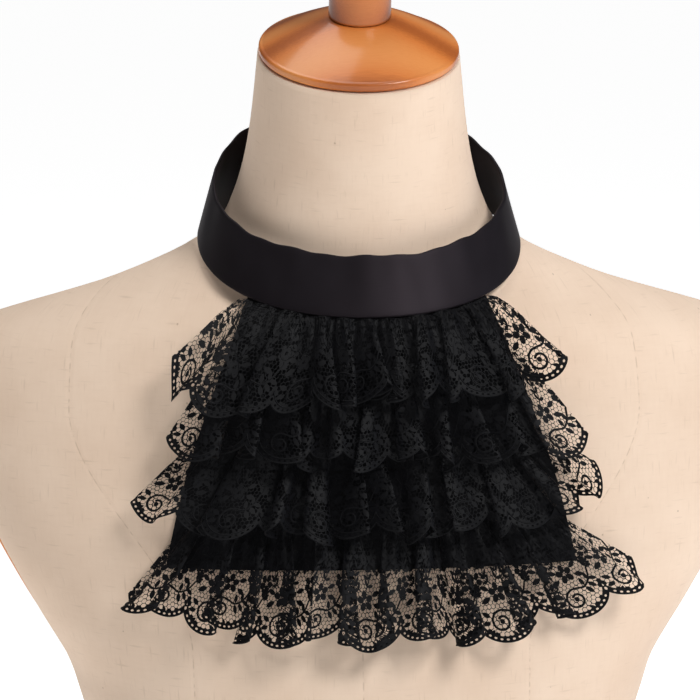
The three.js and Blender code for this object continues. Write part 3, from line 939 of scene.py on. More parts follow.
@dataclass
class Neckband:
    """The strip of doubled satin round the neck, with its hook and loop closing at the back.

    Lengths are in metres, and angles round the neck in degrees.
    """

    finishes: Finishes
    lower: BandEdge = BandEdge(0.390, 0.080, -0.0065, 0.0765, 0.060, 0.010)
    upper: BandEdge = BandEdge(0.4175, 0.072, -0.004, 0.066, 0.062, 0.0)
    width: float = 0.0305
    mean_radius: float = 0.078
    rise_exponent: float = 1.15
    sag_from: float = 0.5
    sag_to: float = 0.85
    thickness: float = 0.0016
    ripple: float = 0.0009
    ripples: float = 5.0
    ripple_start: float = 0.6
    reach: float = 192.0
    lift_start: float = 142.0
    lift_end: float = 167.0
    lift: float = 0.00495
    patch_from: float = 173.0
    patch_to: float = 187.0
    patch_top: float = 0.2
    patch_bottom: float = 0.8
    patch_pitch: float = 0.00145
    patch_thickness: float = 0.001
    # The top edge's small waves: how many go round the neck, where each starts and its share of the height.
    edge_wave: float = 0.0004
    edge_waves: tuple[tuple[float, float, float], ...] = ((11, 1.0, 1.0), (26, 2.5, 0.7))
    crease_depth: float = 0.0005
    creases: tuple[Crease, ...] = (Crease(15.0, 4.0, 4.0, 0.8), Crease(-33.0, -5.0, 3.0, 0.5))
    # The pressed face's slow waves: how many go round the neck, their slant and their share of the depth.
    face_waves: tuple[tuple[float, float, float], ...] = ((9, 2, 0.1575), (17, -3, 0.1125))
    steps: int = 640
    patch_steps: int = 24
    face_points: int = 15
    edge_points: int = 9
    # The surface's direction is read over this many degrees and this share of the width on each side.
    angle_step: float = 0.1
    width_step: float = 0.01

    def edge(self, row: BandEdge, angle: Array, outward: Array) -> Array:
        """Points of one long edge of the band.

        Args:
            row: the edge.
            angle: the angle of each point round the neck, in radians.
            outward: how far it stands outside the edge's own line.

        Returns:
            The points.
        """
        along, depth = np.sin(angle), -np.cos(angle)
        way_back = (1 + depth) / 2
        sag = row.sag * ease((way_back - self.sag_from) / (self.sag_to - self.sag_from))
        x, y = (row.half_width + outward) * along, row.centre + (row.half_depth + outward) * depth
        return np.stack([x, y, row.height + row.rise * way_back**self.rise_exponent - sag], axis=-1)

    def point(self, degrees: Array, v: Array, outward: Array) -> Array:
        """Points between the two edges.

        Args:
            degrees: the angle of each round the neck.
            v: from 0 at the top edge to 1 at the bottom.
            outward: how far it stands outside the band's own line.

        Returns:
            The points.
        """
        angle = np.radians(degrees)
        wave = self.ripple * np.sin(self.ripples * angle + self.ripple_start)
        high = self.edge(self.upper, angle, outward + wave * np.cos(angle / 2) ** 2 * (1 - v))
        for count, start, share in self.edge_waves:
            high[..., 2] += self.edge_wave * share * np.sin(count * angle + start)
        low = self.edge(self.lower, angle, outward)
        return high + (low - high) * v[..., None]

    def pressed(self, degrees: Array, v: Array) -> Array:
        """How deep the creases and waves of the pressed strip go into the cloth.

        Args:
            degrees: the angle of each place round the neck.
            v: from 0 at the top edge to 1 at the bottom.

        Returns:
            The depths.
        """
        depth = np.zeros_like(v)
        for crease in self.creases:
            away = (degrees - crease.place - crease.slant * (v - 0.5)) / crease.width
            depth += crease.share * np.exp(-(away**2))
        for count, slant, share in self.face_waves:
            depth += share * np.sin(np.radians(degrees) * count + slant * v)
        return self.crease_depth * depth

    def build(self) -> None:
        """Builds the band and the two patches of its closing."""
        self.build_band()
        self.build_patch("fastener_loop", 1)
        self.build_patch("fastener_hook", 2)

    def shell(
        self,
        degrees: Array,
        top: float,
        bottom: float,
        outward: Array,
        thickness: float,
        crease: float,
    ) -> tuple[Array, Array]:
        """A closed strip with rounded long edges.

        Args:
            degrees: the angles round the neck of its cross sections.
            top: where its top edge is, as a share of the band's width.
            bottom: where its bottom edge is.
            outward: how far its outer face stands off the band's own line, for each section.
            thickness: from outer to inner face.
            crease: how strongly the band's creases show.

        Returns:
            The points by section and by place round it, and their flat coordinates.
        """
        arc = np.linspace(0, math.pi, self.edge_points)[1:-1]
        width, half = self.width * (bottom - top), thickness / 2
        ratio = half / width
        face = mix(ratio, 1 - ratio, np.linspace(0, 1, self.face_points))
        bulge = ratio * np.sin(arc)
        v = np.concatenate([face, 1 - ratio + bulge, face[::-1], ratio - bulge])
        inner = np.full(self.face_points, -thickness)
        off = np.concatenate([0 * face, half * (np.cos(arc) - 1), inner, -half * (np.cos(arc) + 1)])
        degree, v_grid = np.meshgrid(degrees, mix(top, bottom, v), indexing="ij")
        lift = np.repeat(outward[:, None], len(v), axis=1)
        turn, slide = self.angle_step, self.width_step
        ahead = self.point(degree + turn, v_grid, lift) - self.point(degree - turn, v_grid, lift)
        down = self.point(degree, v_grid + slide, lift) - self.point(degree, v_grid - slide, lift)
        depth = off[None, :] - crease * self.pressed(degree, v_grid)
        points = self.point(degree, v_grid, lift) + unit(np.cross(down, ahead)) * depth[..., None]
        around = np.cumsum(np.full_like(v_grid, width / self.face_points), axis=1)
        return points, np.stack([np.radians(degree) * self.mean_radius, around], axis=-1)

    def build_band(self) -> None:
        """The doubled satin strip, its left end lapped over the right one at the back."""
        degrees = np.linspace(-self.reach, self.reach, self.steps)
        outward = self.lift * ease((degrees - self.lift_start) / (self.lift_end - self.lift_start))
        points, flat = self.shell(degrees, 0, 1, outward, self.thickness, 1.0)
        mesh = closed_strip("neckband_satin", points, flat)
        piece = self.finishes.dress("neckband_satin", mesh, Slot.SATIN, "neckband")

    def build_patch(self, name: str, layer: int) -> None:
        """One half of the closing.

        Args:
            name: what the piece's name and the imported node's both start with.
            layer: 1 for the half on the inner end, 2 for the half on the outer end.
        """
        degrees = np.linspace(self.patch_from, self.patch_to, self.patch_steps)
        outward = np.full_like(degrees, layer * self.patch_pitch)
        top, bottom = self.patch_top, self.patch_bottom
        points, flat = self.shell(degrees, top, bottom, outward, self.patch_thickness, 0.0)
        mesh = closed_strip(f"{name}_tape", points, flat)
        piece = self.finishes.dress(f"{name}_tape", mesh, Slot.FASTENER, f"{name}_patch")


def closed_strip(name: str, points: Array, flat: Array) -> Mesh:
    """Builds a tube of quads from rings of points, and closes each end with two smaller rings.

    Args:
        name: the mesh's name.
        points: one ring of points for each section.
        flat: the flat coordinates of each point.

    Returns:
        The closed mesh.
    """
    ends = []
    for ring in (points[0], points[-1]):
        middle = ring.mean(axis=0)
        ends.append(np.stack([middle + (ring - middle) * share for share in STRIP_ENDS]))
    whole = np.concatenate([ends[0][::-1], points, ends[1]])
    maps = np.concatenate([flat[[0, 0]], flat, flat[[-1, -1]]])
    faces = grid_faces(len(whole), whole.shape[1], wrap=True)
    return build_mesh(name, whole.reshape(-1, 3), faces, maps.reshape(-1, 2))


@dataclass
class BackingPanel:
    """The flared piece of plain black cloth under the lace, which holds the tiers' seams."""

    chest: Chest
    finishes: Finishes
    top: float = -0.0015
    bottom: float = 0.125
    top_half_width: float = 0.056
    bottom_half_width: float = 0.097
    bow: float = 0.005
    ripple: float = 0.0004
    ripples: float = 9.0
    ripple_slant: float = 2.0
    thickness: float = 0.0012
    # The cloth lies this far inside its solid's front, and has this share of the solid's thickness.
    inset: float = 0.0002
    thickness_share: float = 0.7
    columns: int = 121
    rows: int = 81

    def build(self) -> None:
        """Builds the panel as one closed thin shell."""
        v, u = np.meshgrid(np.linspace(0, 1, self.rows), np.linspace(0, 1, self.columns), indexing="ij")
        half_width = mix(self.top_half_width, self.bottom_half_width, v) + self.bow * np.sin(v * math.pi)
        x, drop = (2 * u - 1) * half_width, mix(self.top, self.bottom, v)
        ripple = self.ripple * np.sin(self.ripples * u * math.pi + self.ripple_slant * v) * v - self.inset
        front = self.chest.over(x, drop, ripple)
        back = self.chest.over(x, drop, ripple - self.thickness * self.thickness_share)
        count = self.rows * self.columns
        faces = grid_faces(self.rows, self.columns)
        rim = np.concatenate(
            [
                np.arange(self.columns),
                np.arange(1, self.rows) * self.columns + self.columns - 1,
                count - 2 - np.arange(self.columns - 1),
                np.arange(self.rows - 2, 0, -1) * self.columns,
            ]
        )
        ahead = np.roll(rim, -1)
        side = np.stack([rim, rim + count, ahead + count, ahead], axis=-1)
        whole = np.concatenate([faces[:, ::-1], faces + count, side])
        flat = np.stack([x, drop], axis=-1).reshape(-1, 2)
        points = np.concatenate([front.reshape(-1, 3), back.reshape(-1, 3)])
        mesh = build_mesh("backing_panel_cloth", points, whole, np.concatenate([flat, flat]))
        piece = self.finishes.dress("backing_panel_cloth", mesh, Slot.BACKING, "backing_panel")


def twice_area(outline: Array) -> Array:
    """Twice the area of outlines in the plane, above 0 where they run anticlockwise."""
    ahead = np.roll(outline, -1, axis=-2)
    return (outline[..., 0] * ahead[..., 1] - outline[..., 1] * ahead[..., 0]).sum(axis=-1)


@dataclass
class LaceTile:
    """One repeat of the edging lace, laid flat: net, sprigs, scrolls and the corded scallop.

    Sizes are in millimetres, and the angles among its fields in degrees. The repeat runs along x, and y goes
    up from the scallop's lowest point.
    """

    pitch: float = 26.0
    height: float = 66.0
    arc: float = 16.2
    border: float = 2.7
    # The real net's holes are about 1.4 mm apart, too fine to show, so twelve are drawn in a repeat.
    mesh_pitch: float = 26.0 / 12
    mesh_foot: float = 2.2
    # How far the holes are pulled out of line along and across, and where the net ends at the scallop.
    mesh_pull: tuple[float, float] = (0.12, 0.16)
    mesh_clear: float = 0.7
    mesh_below: float = 1.8
    thread: float = 0.31
    cord: float = 0.42
    cord_inset: float = 0.35
    inner_cord: float = 0.85
    # A cord's height is this share of its width, and its middle lies this share of its radius above the net.
    cord_flatness: float = 0.7
    cord_rise: float = 0.15
    scroll_cord: float = 0.34
    stem_cord: float = 0.26
    flower_cord: float = 0.22
    eyelets: int = 10
    eyelet: tuple[float, float] = (0.68, 0.5)
    eyelet_turn: float = 10.2
    eyelet_shift: float = 0.15
    valley_eyelet: tuple[float, float] = (0.85, 0.65)
    valley_holes: tuple[float, ...] = (8.9, 11.3)
    scroll: tuple[float, float] = (11.4, 10.0)
    scroll_radii: tuple[float, float] = (5.4, 1.9)
    scroll_turns: tuple[float, float] = (70, 500)
    scroll_steps: int = 26
    scroll_eye: float = 1.2
    scroll_widths: tuple[float, float] = (1.0, 1.2)
    stem_widths: tuple[float, float] = (0.75, 0.55)
    leaf_fullness: float = 0.8
    # A flower's measures are shares of its size, and a spray's leaf width is a share of the leaf's length.
    petals: int = 5
    petal_reach: float = 0.58
    petal: tuple[float, float] = (0.44, 0.33)
    flower_ring: float = 0.72
    spray_leaf: float = 0.42
    spray_angle: float = 48.0
    curve_steps: int = 14
    weld: float = 1e-5
    cords: list[tuple[Array, float]] = field(default_factory=list)
    motifs: list[Array] = field(default_factory=list)
    holes: list[Array] = field(default_factory=list)

    def __post_init__(self) -> None:
        """Works out the pattern and cuts it into triangles."""
        self.draw_edge()
        self.draw_scroll()
        self.draw_sprays()
        self.cut()

    def laid(self, x: Array, y: Array, place: tuple[float, float], turn: float) -> Array:
        """Turns a flat shape and moves it to its place.

        Args:
            x: its corners' first coordinates.
            y: their second coordinates.
            place: where its origin goes.
            turn: the turn, in radians.

        Returns:
            The corners.
        """
        cosine, sine = math.cos(turn), math.sin(turn)
        return np.stack([place[0] + x * cosine - y * sine, place[1] + x * sine + y * cosine], axis=-1)

    def oval(
        self, centre: tuple[float, float], along: float, across: float, turn: float, sides: int = 10
    ) -> Array:
        """An oval outline.

        Args:
            centre: its middle.
            along: half its length.
            across: half its width.
            turn: the direction of its length, in radians.
            sides: the number of its corners.

        Returns:
            The corners.
        """
        angle = np.linspace(0, 2 * math.pi, sides, endpoint=False)
        return self.laid(along * np.cos(angle), across * np.sin(angle), centre, turn)

    def add_leaf(self, foot: tuple[float, float], length: float, width: float, turn: float) -> None:
        """Adds a pointed leaf to the motifs.

        Args:
            foot: where it starts.
            length: its length.
            width: its greatest width.
            turn: its direction, in radians.
        """
        share = np.linspace(0, 1, 6)
        half = width / 2 * np.sin(share * math.pi) ** self.leaf_fullness
        x = np.concatenate([share, share[-2:0:-1]]) * length
        y = np.concatenate([half, -half[-2:0:-1]])
        self.motifs.append(self.laid(x, y, foot, turn))

    def add_leaves(self, *leaves: tuple[tuple[float, float], float, float, float]) -> None:
        """Adds leaves, each by its foot, length, width and direction in degrees."""
        for foot, length, width, degrees in leaves:
            self.add_leaf(foot, length, width, math.radians(degrees))

    def ribbon(self, line: Array, start: float, end: float) -> Array:
        """The outline of a line drawn with a width.

        Args:
            line: the points along its middle.
            start: its width at the first point.
            end: its width at the last point.

        Returns:
            The outline's corners.
        """
        ahead = unit(np.gradient(line, axis=0))
        side = np.stack([-ahead[:, 1], ahead[:, 0]], axis=-1)
        half = np.linspace(start, end, len(line))[:, None] / 2
        return np.concatenate([line + side * half, (line - side * half)[::-1]])

    def curve(self, *points: tuple[float, float]) -> Array:
        """A smooth line through points.

        Args:
            *points: the points, in order.

        Returns:
            The points of the line.
        """
        knots = np.array([points[0], *points, points[-1]], dtype=float)
        t = np.linspace(0, 1, max(3, self.curve_steps // (len(points) - 1) + 1))[:-1, None]
        parts = []
        for a, b, c, d in zip(knots, knots[1:], knots[2:], knots[3:]):
            square, cube = (2 * a - 5 * b + 4 * c - d) * t**2, (3 * b - a - 3 * c + d) * t**3
            parts.append(0.5 * (2 * b + (c - a) * t + square + cube))
        return np.concatenate([*parts, knots[-1:]])

    def arc_line(self, radius: float, steps: int) -> Array:
        """The part of a circle round the scallop's centre that lies inside the repeat.

        Args:
            radius: the circle's radius.
            steps: the number of its points.

        Returns:
            The points.
        """
        reach = math.asin(self.pitch / 2 / radius)
        angle = np.linspace(-reach, reach, steps)
        return np.stack([self.pitch / 2 + radius * np.sin(angle), self.arc - radius * np.cos(angle)], axis=-1)

    def draw_edge(self) -> None:
        """The two cords of the scallop and the row of eyelets between them."""
        self.cords.append((self.arc_line(self.arc - self.cord_inset, 23), self.cord))
        self.cords.append((self.arc_line(self.arc - self.border, 21), self.cord * self.inner_cord))
        middle = self.arc - self.border / 2 - self.eyelet_shift
        for place in np.arange(self.eyelets) - (self.eyelets - 1) / 2:
            angle = place * math.radians(self.eyelet_turn)
            centre = (self.pitch / 2 + middle * math.sin(angle), self.arc - middle * math.cos(angle))
            self.holes.append(self.oval(centre, *self.eyelet, angle, 7))
        for x in (0.0, self.pitch):
            for y in self.valley_holes:
                self.holes.append(self.oval((x, y), *self.valley_eyelet, math.pi / 2, 8))

    def draw_scroll(self) -> None:
        """The scroll inside the scallop, with its tail and leaves."""
        turns = np.radians(np.linspace(*self.scroll_turns, self.scroll_steps))
        radius = np.linspace(*self.scroll_radii, self.scroll_steps)
        x, y = self.scroll
        spiral = np.stack([x + radius * np.cos(turns), y + radius * np.sin(turns)], axis=-1)
        tail = self.curve((25.4, 22.0), (22.4, 17.0), (18.2, 14.2), (15.0, 14.7), tuple(spiral[0]))
        line = np.concatenate([tail[:-1], spiral])
        self.motifs.append(self.ribbon(line, *self.scroll_widths))
        self.cords.append((line[::2], self.scroll_cord))
        self.motifs.append(self.oval(self.scroll, self.scroll_eye, self.scroll_eye, 0.0))
        self.add_leaves(
            ((18.4, 14.0), 5.0, 2.4, -62),
            ((20.6, 15.4), 4.8, 2.3, -48),
            ((22.6, 17.4), 4.2, 2.1, -28),
            ((6.2, 12.4), 4.8, 2.3, 150),
            ((5.9, 10.0), 4.4, 2.1, 190),
            ((7.2, 6.6), 3.4, 1.7, 225),
            ((18.6, 14.6), 4.6, 2.2, 98),
            ((21.6, 16.8), 4.0, 2.0, 84),
            ((14.4, 5.0), 3.2, 1.5, -40),
        )

    def flower(self, centre: tuple[float, float], size: float, turn: float) -> None:
        """A flower with an open centre.

        Args:
            centre: its middle.
            size: its size, of which its other measures are shares.
            turn: the direction of its first petal, in radians.
        """
        out = self.petal_reach * size
        for petal in range(self.petals):
            angle = turn + petal * 2 * math.pi / self.petals
            middle = (centre[0] + out * math.cos(angle), centre[1] + out * math.sin(angle))
            self.motifs.append(self.oval(middle, self.petal[0] * size, self.petal[1] * size, angle, 8))
        ring = self.oval(centre, self.flower_ring * size, self.flower_ring * size, turn, 8)
        self.cords.append((np.concatenate([ring, ring[:1]]), self.flower_cord))

    def spray(self, line: Array, leaf: float) -> None:
        """A stem with leaves on both sides.

        Args:
            line: the points of the stem.
            leaf: the length of a leaf.
        """
        self.motifs.append(self.ribbon(line, *self.stem_widths))
        self.cords.append((line[::2], self.stem_cord))
        ahead = np.gradient(line, axis=0)
        for place in range(2, len(line) - 1, 3):
            turn = math.atan2(ahead[place, 1], ahead[place, 0])
            for side in (1, -1):
                out = turn + side * math.radians(self.spray_angle)
                self.add_leaf(tuple(line[place]), leaf, leaf * self.spray_leaf, out)

    def draw_sprays(self) -> None:
        """The flowers, stems and leaves above the scallops, thinner towards the gathered edge."""
        for centre, size, turn in (
            ((12.6, 23.4), 5.0, 0.4),
            ((0.6, 29.4), 4.6, 1.1),
            ((13.6, 42.6), 4.0, 0.2),
            ((4.4, 49.6), 3.6, 0.9),
            ((19.2, 54.0), 3.6, 0.5),
            ((22.4, 37.4), 3.0, 0.8),
            ((9.4, 60.4), 3.0, 0.3),
        ):
            self.flower(centre, size, turn)
        self.add_leaves(
            ((8.2, 21.4), 6.0, 2.8, 204),
            ((8.2, 24.8), 5.6, 2.6, 160),
            ((17.2, 21.6), 5.4, 2.6, -18),
            ((17.2, 25.4), 5.2, 2.5, 24),
            ((4.6, 30.6), 4.6, 2.2, 20),
            ((17.6, 43.0), 4.4, 2.1, 10),
            ((9.6, 43.6), 4.4, 2.1, 170),
        )
        for line, leaf in (
            (((25.4, 22.0), (26.6, 24.0), (26.6, 25.6)), 3.8),
            (((13.4, 28.0), (15.8, 32.0), (15.4, 36.6), (18.8, 41.0)), 4.2),
            (((10.6, 27.6), (7.4, 30.6), (6.6, 35.0), (8.4, 39.4)), 3.9),
            (((1.0, 33.8), (2.8, 37.6), (1.2, 42.4), (3.8, 46.4)), 3.8),
            (((18.8, 41.0), (21.4, 44.6), (20.4, 50.0)), 3.4),
            (((13.6, 46.4), (11.4, 51.0), (13.2, 56.6)), 3.3),
            (((4.6, 53.2), (2.0, 57.4), (3.4, 63.0)), 3.0),
            (((19.4, 57.6), (21.6, 61.0), (20.6, 64.6)), 3.0),
        ):
            self.spray(self.curve(*line), leaf)

    def net(self) -> list[Array]:
        """The holes of the net, six-sided and slightly uneven."""
        columns = round(self.pitch / self.mesh_pitch)
        row_height = self.mesh_pitch * math.sqrt(3) / 2
        size = (self.mesh_pitch - self.thread) / math.sqrt(3)
        angle = np.radians(np.arange(6) * 60 + 30)
        shape = np.stack([size * np.cos(angle), size * np.sin(angle)], axis=-1)
        turn = 2 * math.pi / self.pitch
        holes = []
        for row in range(int(self.height / row_height) + 1):
            for column in range(columns + 1):
                x = (column + 0.5 * (row % 2)) * self.mesh_pitch
                y = self.mesh_foot + row * row_height
                x += self.mesh_pull[0] * math.sin(2 * turn * x + 0.8 * y)
                y += self.mesh_pull[1] * math.sin(3 * turn * x + 0.5 * y)
                out = math.hypot((x % self.pitch) - self.pitch / 2, y - self.arc)
                if y > self.arc - self.mesh_below or out < self.arc - self.border - self.mesh_clear:
                    holes.append(shape + (x, y))
        return holes

    def cut(self) -> None:
        """Cuts the pattern into triangles and keeps those that are thread."""
        outline = self.arc_line(self.arc, 25)
        region = np.concatenate([outline, [(self.pitch, self.height), (0.0, self.height)]])
        repeated = [shape + (shift, 0.0) for shape in self.motifs for shift in (-self.pitch, 0.0, self.pitch)]
        motifs = [m for m in repeated if m[:, 0].max() > 0 and m[:, 0].min() < self.pitch]
        shapes = [region, *self.holes, *self.net(), *motifs]
        kinds = ["region"] + ["eyelet"] * len(self.holes)
        kinds += ["net"] * (len(shapes) - len(kinds) - len(motifs)) + ["motif"] * len(motifs)
        shapes = [shape if twice_area(shape) > 0 else shape[::-1] for shape in shapes]
        starts = np.concatenate([[0], np.cumsum([len(s) for s in shapes])])
        loops = [list(range(a, b)) for a, b in zip(starts, starts[1:])]
        corners = [Vector(p) for p in np.concatenate(shapes)]
        points, _, triangles, _, _, origins = delaunay_2d_cdt(corners, [], loops, 0, self.weld)
        kept = []
        for triangle, origin in zip(triangles, origins):
            found = {kinds[i] for i in origin}
            solid = "motif" in found or "net" not in found
            if "region" in found and "eyelet" not in found and solid and len(triangle) == 3:
                kept.append(triangle)
        places = np.array([tuple(p) for p in points])
        used, faces = np.unique(np.array(kept), return_inverse=True)
        self.flat = places[used]
        self.faces = faces.reshape(-1, 3)
        twice = twice_area(self.flat[self.faces])
        self.faces = np.where(twice[:, None] > 0, self.faces, self.faces[:, ::-1])
        self.covered = np.abs(twice).sum() / 2
        self.places = np.concatenate([self.flat, np.zeros((len(self.flat), 1))], axis=1)
        for line, radius in self.cords:
            self.add_cord(line, radius)

    def add_cord(self, line: Array, radius: float) -> None:
        """Lays a raised cord along a line of the pattern, as a tube with four sides.

        Args:
            line: the points along it.
            radius: half its width.
        """
        ahead = unit(np.gradient(line, axis=0))
        side = np.stack([-ahead[:, 1], ahead[:, 0]], axis=-1)
        angle = np.radians([45, 135, 225, 315])
        flat = line[:, None, :] + side[:, None, :] * radius * np.cos(angle)[None, :, None]
        level = radius * (self.cord_flatness * np.sin(angle) + self.cord_rise)
        raised = np.broadcast_to(level[None, :, None], (len(line), 4, 1))
        ring = np.concatenate([flat, raised], axis=-1)
        quads = grid_faces(len(line), 4, wrap=True)[:, ::-1] + len(self.places)
        halves = np.concatenate([quads[:, [0, 1, 2]], quads[:, [0, 2, 3]]])
        self.places = np.concatenate([self.places, ring.reshape(-1, 3)])
        self.faces = np.concatenate([self.faces, halves])


@dataclass(frozen=True)
class TierEnd:
    """How one cut end of a tier fans out: its cloth's depth, its angle, and how short its corner is."""

    depth: float
    splay: float
    corner: float


@dataclass(frozen=True)
class TierCut:
    """How one tier is cut, gathered and hung. Lengths are in metres and angles in degrees."""

    seam: float
    half_width: float
    depth: float
    lift: float
    wave: float
    waves: float
    start: float
    left: TierEnd
    right: TierEnd


TIER_CUTS = (
    TierCut(0.0018, 0.057, 0.04, 0.012, 0.0044, 10, 0.1, TierEnd(0.068, 54, 0.3), TierEnd(0.049, 47, 0.05)),
    TierCut(0.024, 0.071, 0.049, 0.01, 0.0048, 11, 0.45, TierEnd(0.05, 29, 0.0), TierEnd(0.054, 34, 0.0)),
    TierCut(0.06, 0.08, 0.051, 0.0075, 0.0052, 11, 0.2, TierEnd(0.053, 42, 0.0), TierEnd(0.048, 58, 0.26)),
    TierCut(0.102, 0.088, 0.06, 0.0045, 0.0056, 12, 0.6, TierEnd(0.048, 38, 0.0), TierEnd(0.053, 50, 0.15)),
)


@dataclass
class LaceTier:
    """One gathered tier of the edging lace, hung from its seam in uneven folds."""

    number: int
    cut: TierCut
    tile: LaceTile
    chest: Chest
    finishes: Finishes
    thickness: float = 0.001
    off_panel: float = 0.0005
    seam_wave: float = 0.0011
    fold_swing: float = 0.105
    swing_curve: float = 0.6
    fan_curve: float = 2.4
    corner_from: float = 0.9
    end_calm: float = 0.35
    variety: float = 0.22
    slow_shift: float = 0.16
    quick_shift: float = 0.10
    # How far each wave leans over its neighbour, as a share of its width, so that the cloth lies in pleats.
    pleat: float = 0.62
    pleat_sharpness: float = 2.2
    sway: float = 0.0028
    droop: float = 0.0026
    gather: float = 0.0005
    gathers: float = 4.3
    gather_shift: float = 2.2
    gather_waves: float = 3.1
    # The gathers reach their full height this many times nearer the seam than the hem is.
    gather_start: float = 12.0
    tier_shift: float = 1.7
    # The lace's length is measured along this share of the way down.
    measured_at: float = 0.85
    columns: int = 1401
    rows: int = 61

    def full_depth(self, side: Array) -> Array:
        """The depth of the cloth from seam to hem.

        Args:
            side: from -1 at the left end to 1 at the right.

        Returns:
            The depths.
        """
        cut = self.cut
        end_depth = np.where(side < 0, cut.left.depth, cut.right.depth)
        corner = np.where(side < 0, cut.left.corner, cut.right.corner)
        near = ease((np.abs(side) - self.corner_from) / (1 - self.corner_from))
        return mix(cut.depth, end_depth, np.abs(side) ** self.fan_curve) * (1 - corner * near)

    def drift(self, u: Array, waves: float, start: float) -> Array:
        """A slow wave along the seam, from -1 to 1, that starts elsewhere in each tier.

        Args:
            u: from 0 at the viewer's left end to 1 at the right.
            waves: how many waves there are.
            start: how much further along it starts with each tier.

        Returns:
            The wave's height at each place.
        """
        return np.sin(2 * math.pi * (waves * u + start * (self.number * self.tier_shift)))

    def hang(self, u: Array, v: Array) -> Array:
        """Where the lace hangs, by share along the seam and share down from it.

        Args:
            u: from 0 at the viewer's left end to 1 at the right.
            v: from 0 at the seam to 1 at the scallops' lowest points.

        Returns:
            One point for each place.
        """
        cut, turn = self.cut, 2 * math.pi
        side = 2 * u - 1
        calm = 1 - self.end_calm * side**4
        splay = np.where(side < 0, cut.left.splay, cut.right.splay)
        lean = np.radians(splay) * power(side, self.fan_curve)
        # Each drift has its own number of waves and its own start, so that no two tiers fold alike.
        droop = self.droop * (self.drift(u, 4.3, 0.31) + 0.7 * self.drift(u, 9.1, 0.17))
        d = v * (self.full_depth(side) + droop * calm)
        slow = self.slow_shift * np.sin(turn * (2 * u + cut.start))
        quick = self.quick_shift * np.sin(turn * (5 * u + 3 * cut.start))
        phase = turn * (cut.waves * u + cut.start + slow + quick)
        uneven = 1 + self.variety * np.sin(turn * (3 * u + 2 * cut.start))
        wave = mix(self.seam_wave, cut.wave * uneven, v) * calm
        pitch = 2 * cut.half_width / cut.waves
        sway = self.sway * self.drift(u, 5.7, 0.23) * v**2 * calm
        leaning = self.drift(u, 1.6, 0.29) + 0.5 * self.drift(u, 4.7, 0.41)
        pleat = self.pleat * np.tanh(self.pleat_sharpness * leaning)
        folded = self.fold_swing * np.sin(2 * phase) + pleat * np.cos(phase)
        swing = pitch * folded * v**self.swing_curve * calm + sway
        near = np.clip(1 - v, 0, 1) ** 2 * np.minimum(v * self.gather_start, 1)
        shift = self.gather_shift * np.sin(turn * self.gather_waves * u)
        fine = self.gather * near * (1 + np.sin(self.gathers * phase + shift))
        off = self.thickness + self.off_panel + cut.lift * v + wave * (1 + np.cos(phase)) + fine
        across = side * cut.half_width + d * np.sin(lean) + swing * np.cos(lean)
        return self.chest.over(across, cut.seam + d * np.cos(lean) - swing * np.sin(lean), off)

    def build(self) -> None:
        """Maps the repeats of the flat lace along the hung surface."""
        tile = self.tile
        v, u = np.meshgrid(np.linspace(0, 1, self.rows), np.linspace(0, 1, self.columns), indexing="ij")
        surface = self.hang(u, v)
        down, along = np.gradient(surface, axis=0), np.gradient(surface, axis=1)
        out = unit(np.cross(down, along))
        hem = surface[int(self.rows * self.measured_at)]
        run = np.concatenate([[0], np.cumsum(np.linalg.norm(np.diff(hem, axis=0), axis=-1))])
        repeats = max(1, round(run[-1] / (tile.pitch * MM)))
        shift = np.arange(repeats)[:, None] * tile.pitch
        s = (tile.places[None, :, 0] + shift) / (repeats * tile.pitch)
        t = np.broadcast_to(tile.places[None, :, 1], s.shape) * MM
        height = np.broadcast_to(tile.places[None, :, 2], s.shape) * MM
        column = np.interp(s, run / run[-1], np.arange(self.columns))
        side = 2 * column / (self.columns - 1) - 1
        depth = self.full_depth(side)
        row = np.clip(1 - t / depth, 0, 1) * (self.rows - 1)
        points = read_grid(surface, row, column) + read_grid(out, row, column) * height[..., None]
        keep = (t < depth)[:, tile.faces].any(axis=-1)
        faces = tile.faces[None] + np.arange(repeats)[:, None, None] * len(tile.places)
        flat = np.stack([tile.places[None, :, 0] * MM + shift * MM, t], axis=-1)
        used, faces = np.unique(faces[keep], return_inverse=True)
        name = f"lace_tier_{self.number}_edging"
        places = points.reshape(-1, 3)[used]
        mesh = build_mesh(name, places, faces.reshape(-1, 3), flat.reshape(-1, 2)[used])
        mesh.uv_layers["cloth"].name = "OFBake"
        piece = self.finishes.dress(name, mesh, Slot.LACE, f"lace_tier_{self.number}")


def read_grid(grid: Array, row: Array, column: Array) -> Array:
    """Reads a grid of vectors between its points.

    Args:
        grid: rows by columns by three.
        row: row numbers, with fractions.
        column: column numbers, with fractions.

    Returns:
        One vector for each place.
    """
    r = np.clip(row.astype(int), 0, grid.shape[0] - 2)
    c = np.clip(column.astype(int), 0, grid.shape[1] - 2)
    fr, fc = (row - r)[..., None], (column - c)[..., None]
    high = grid[r, c] * (1 - fc) + grid[r, c + 1] * fc
    low = grid[r + 1, c] * (1 - fc) + grid[r + 1, c + 1] * fc
    return high * (1 - fr) + low * fr


@dataclass
class Jabot:
    """The whole jabot: neckband with its closing, backing panel, and four tiers of lace."""

    chest: Chest
    finishes: Finishes

    def build(self) -> None:
        """Builds the pieces from the neck downwards."""
        Neckband(self.finishes).build()
        BackingPanel(self.chest, self.finishes).build()
        tile = LaceTile()
        log.info("lace repeat: %d triangles", len(tile.faces))
        for number, cut in enumerate(TIER_CUTS, start=1):
            LaceTier(number, cut, tile, self.chest, self.finishes).build()


@dataclass(frozen=True)
class Light:
    """One soft light of the studio."""

    name: str
    place: tuple[float, float, float]
    size: float
    watts: float
    colour: str = "#FFFFFF"


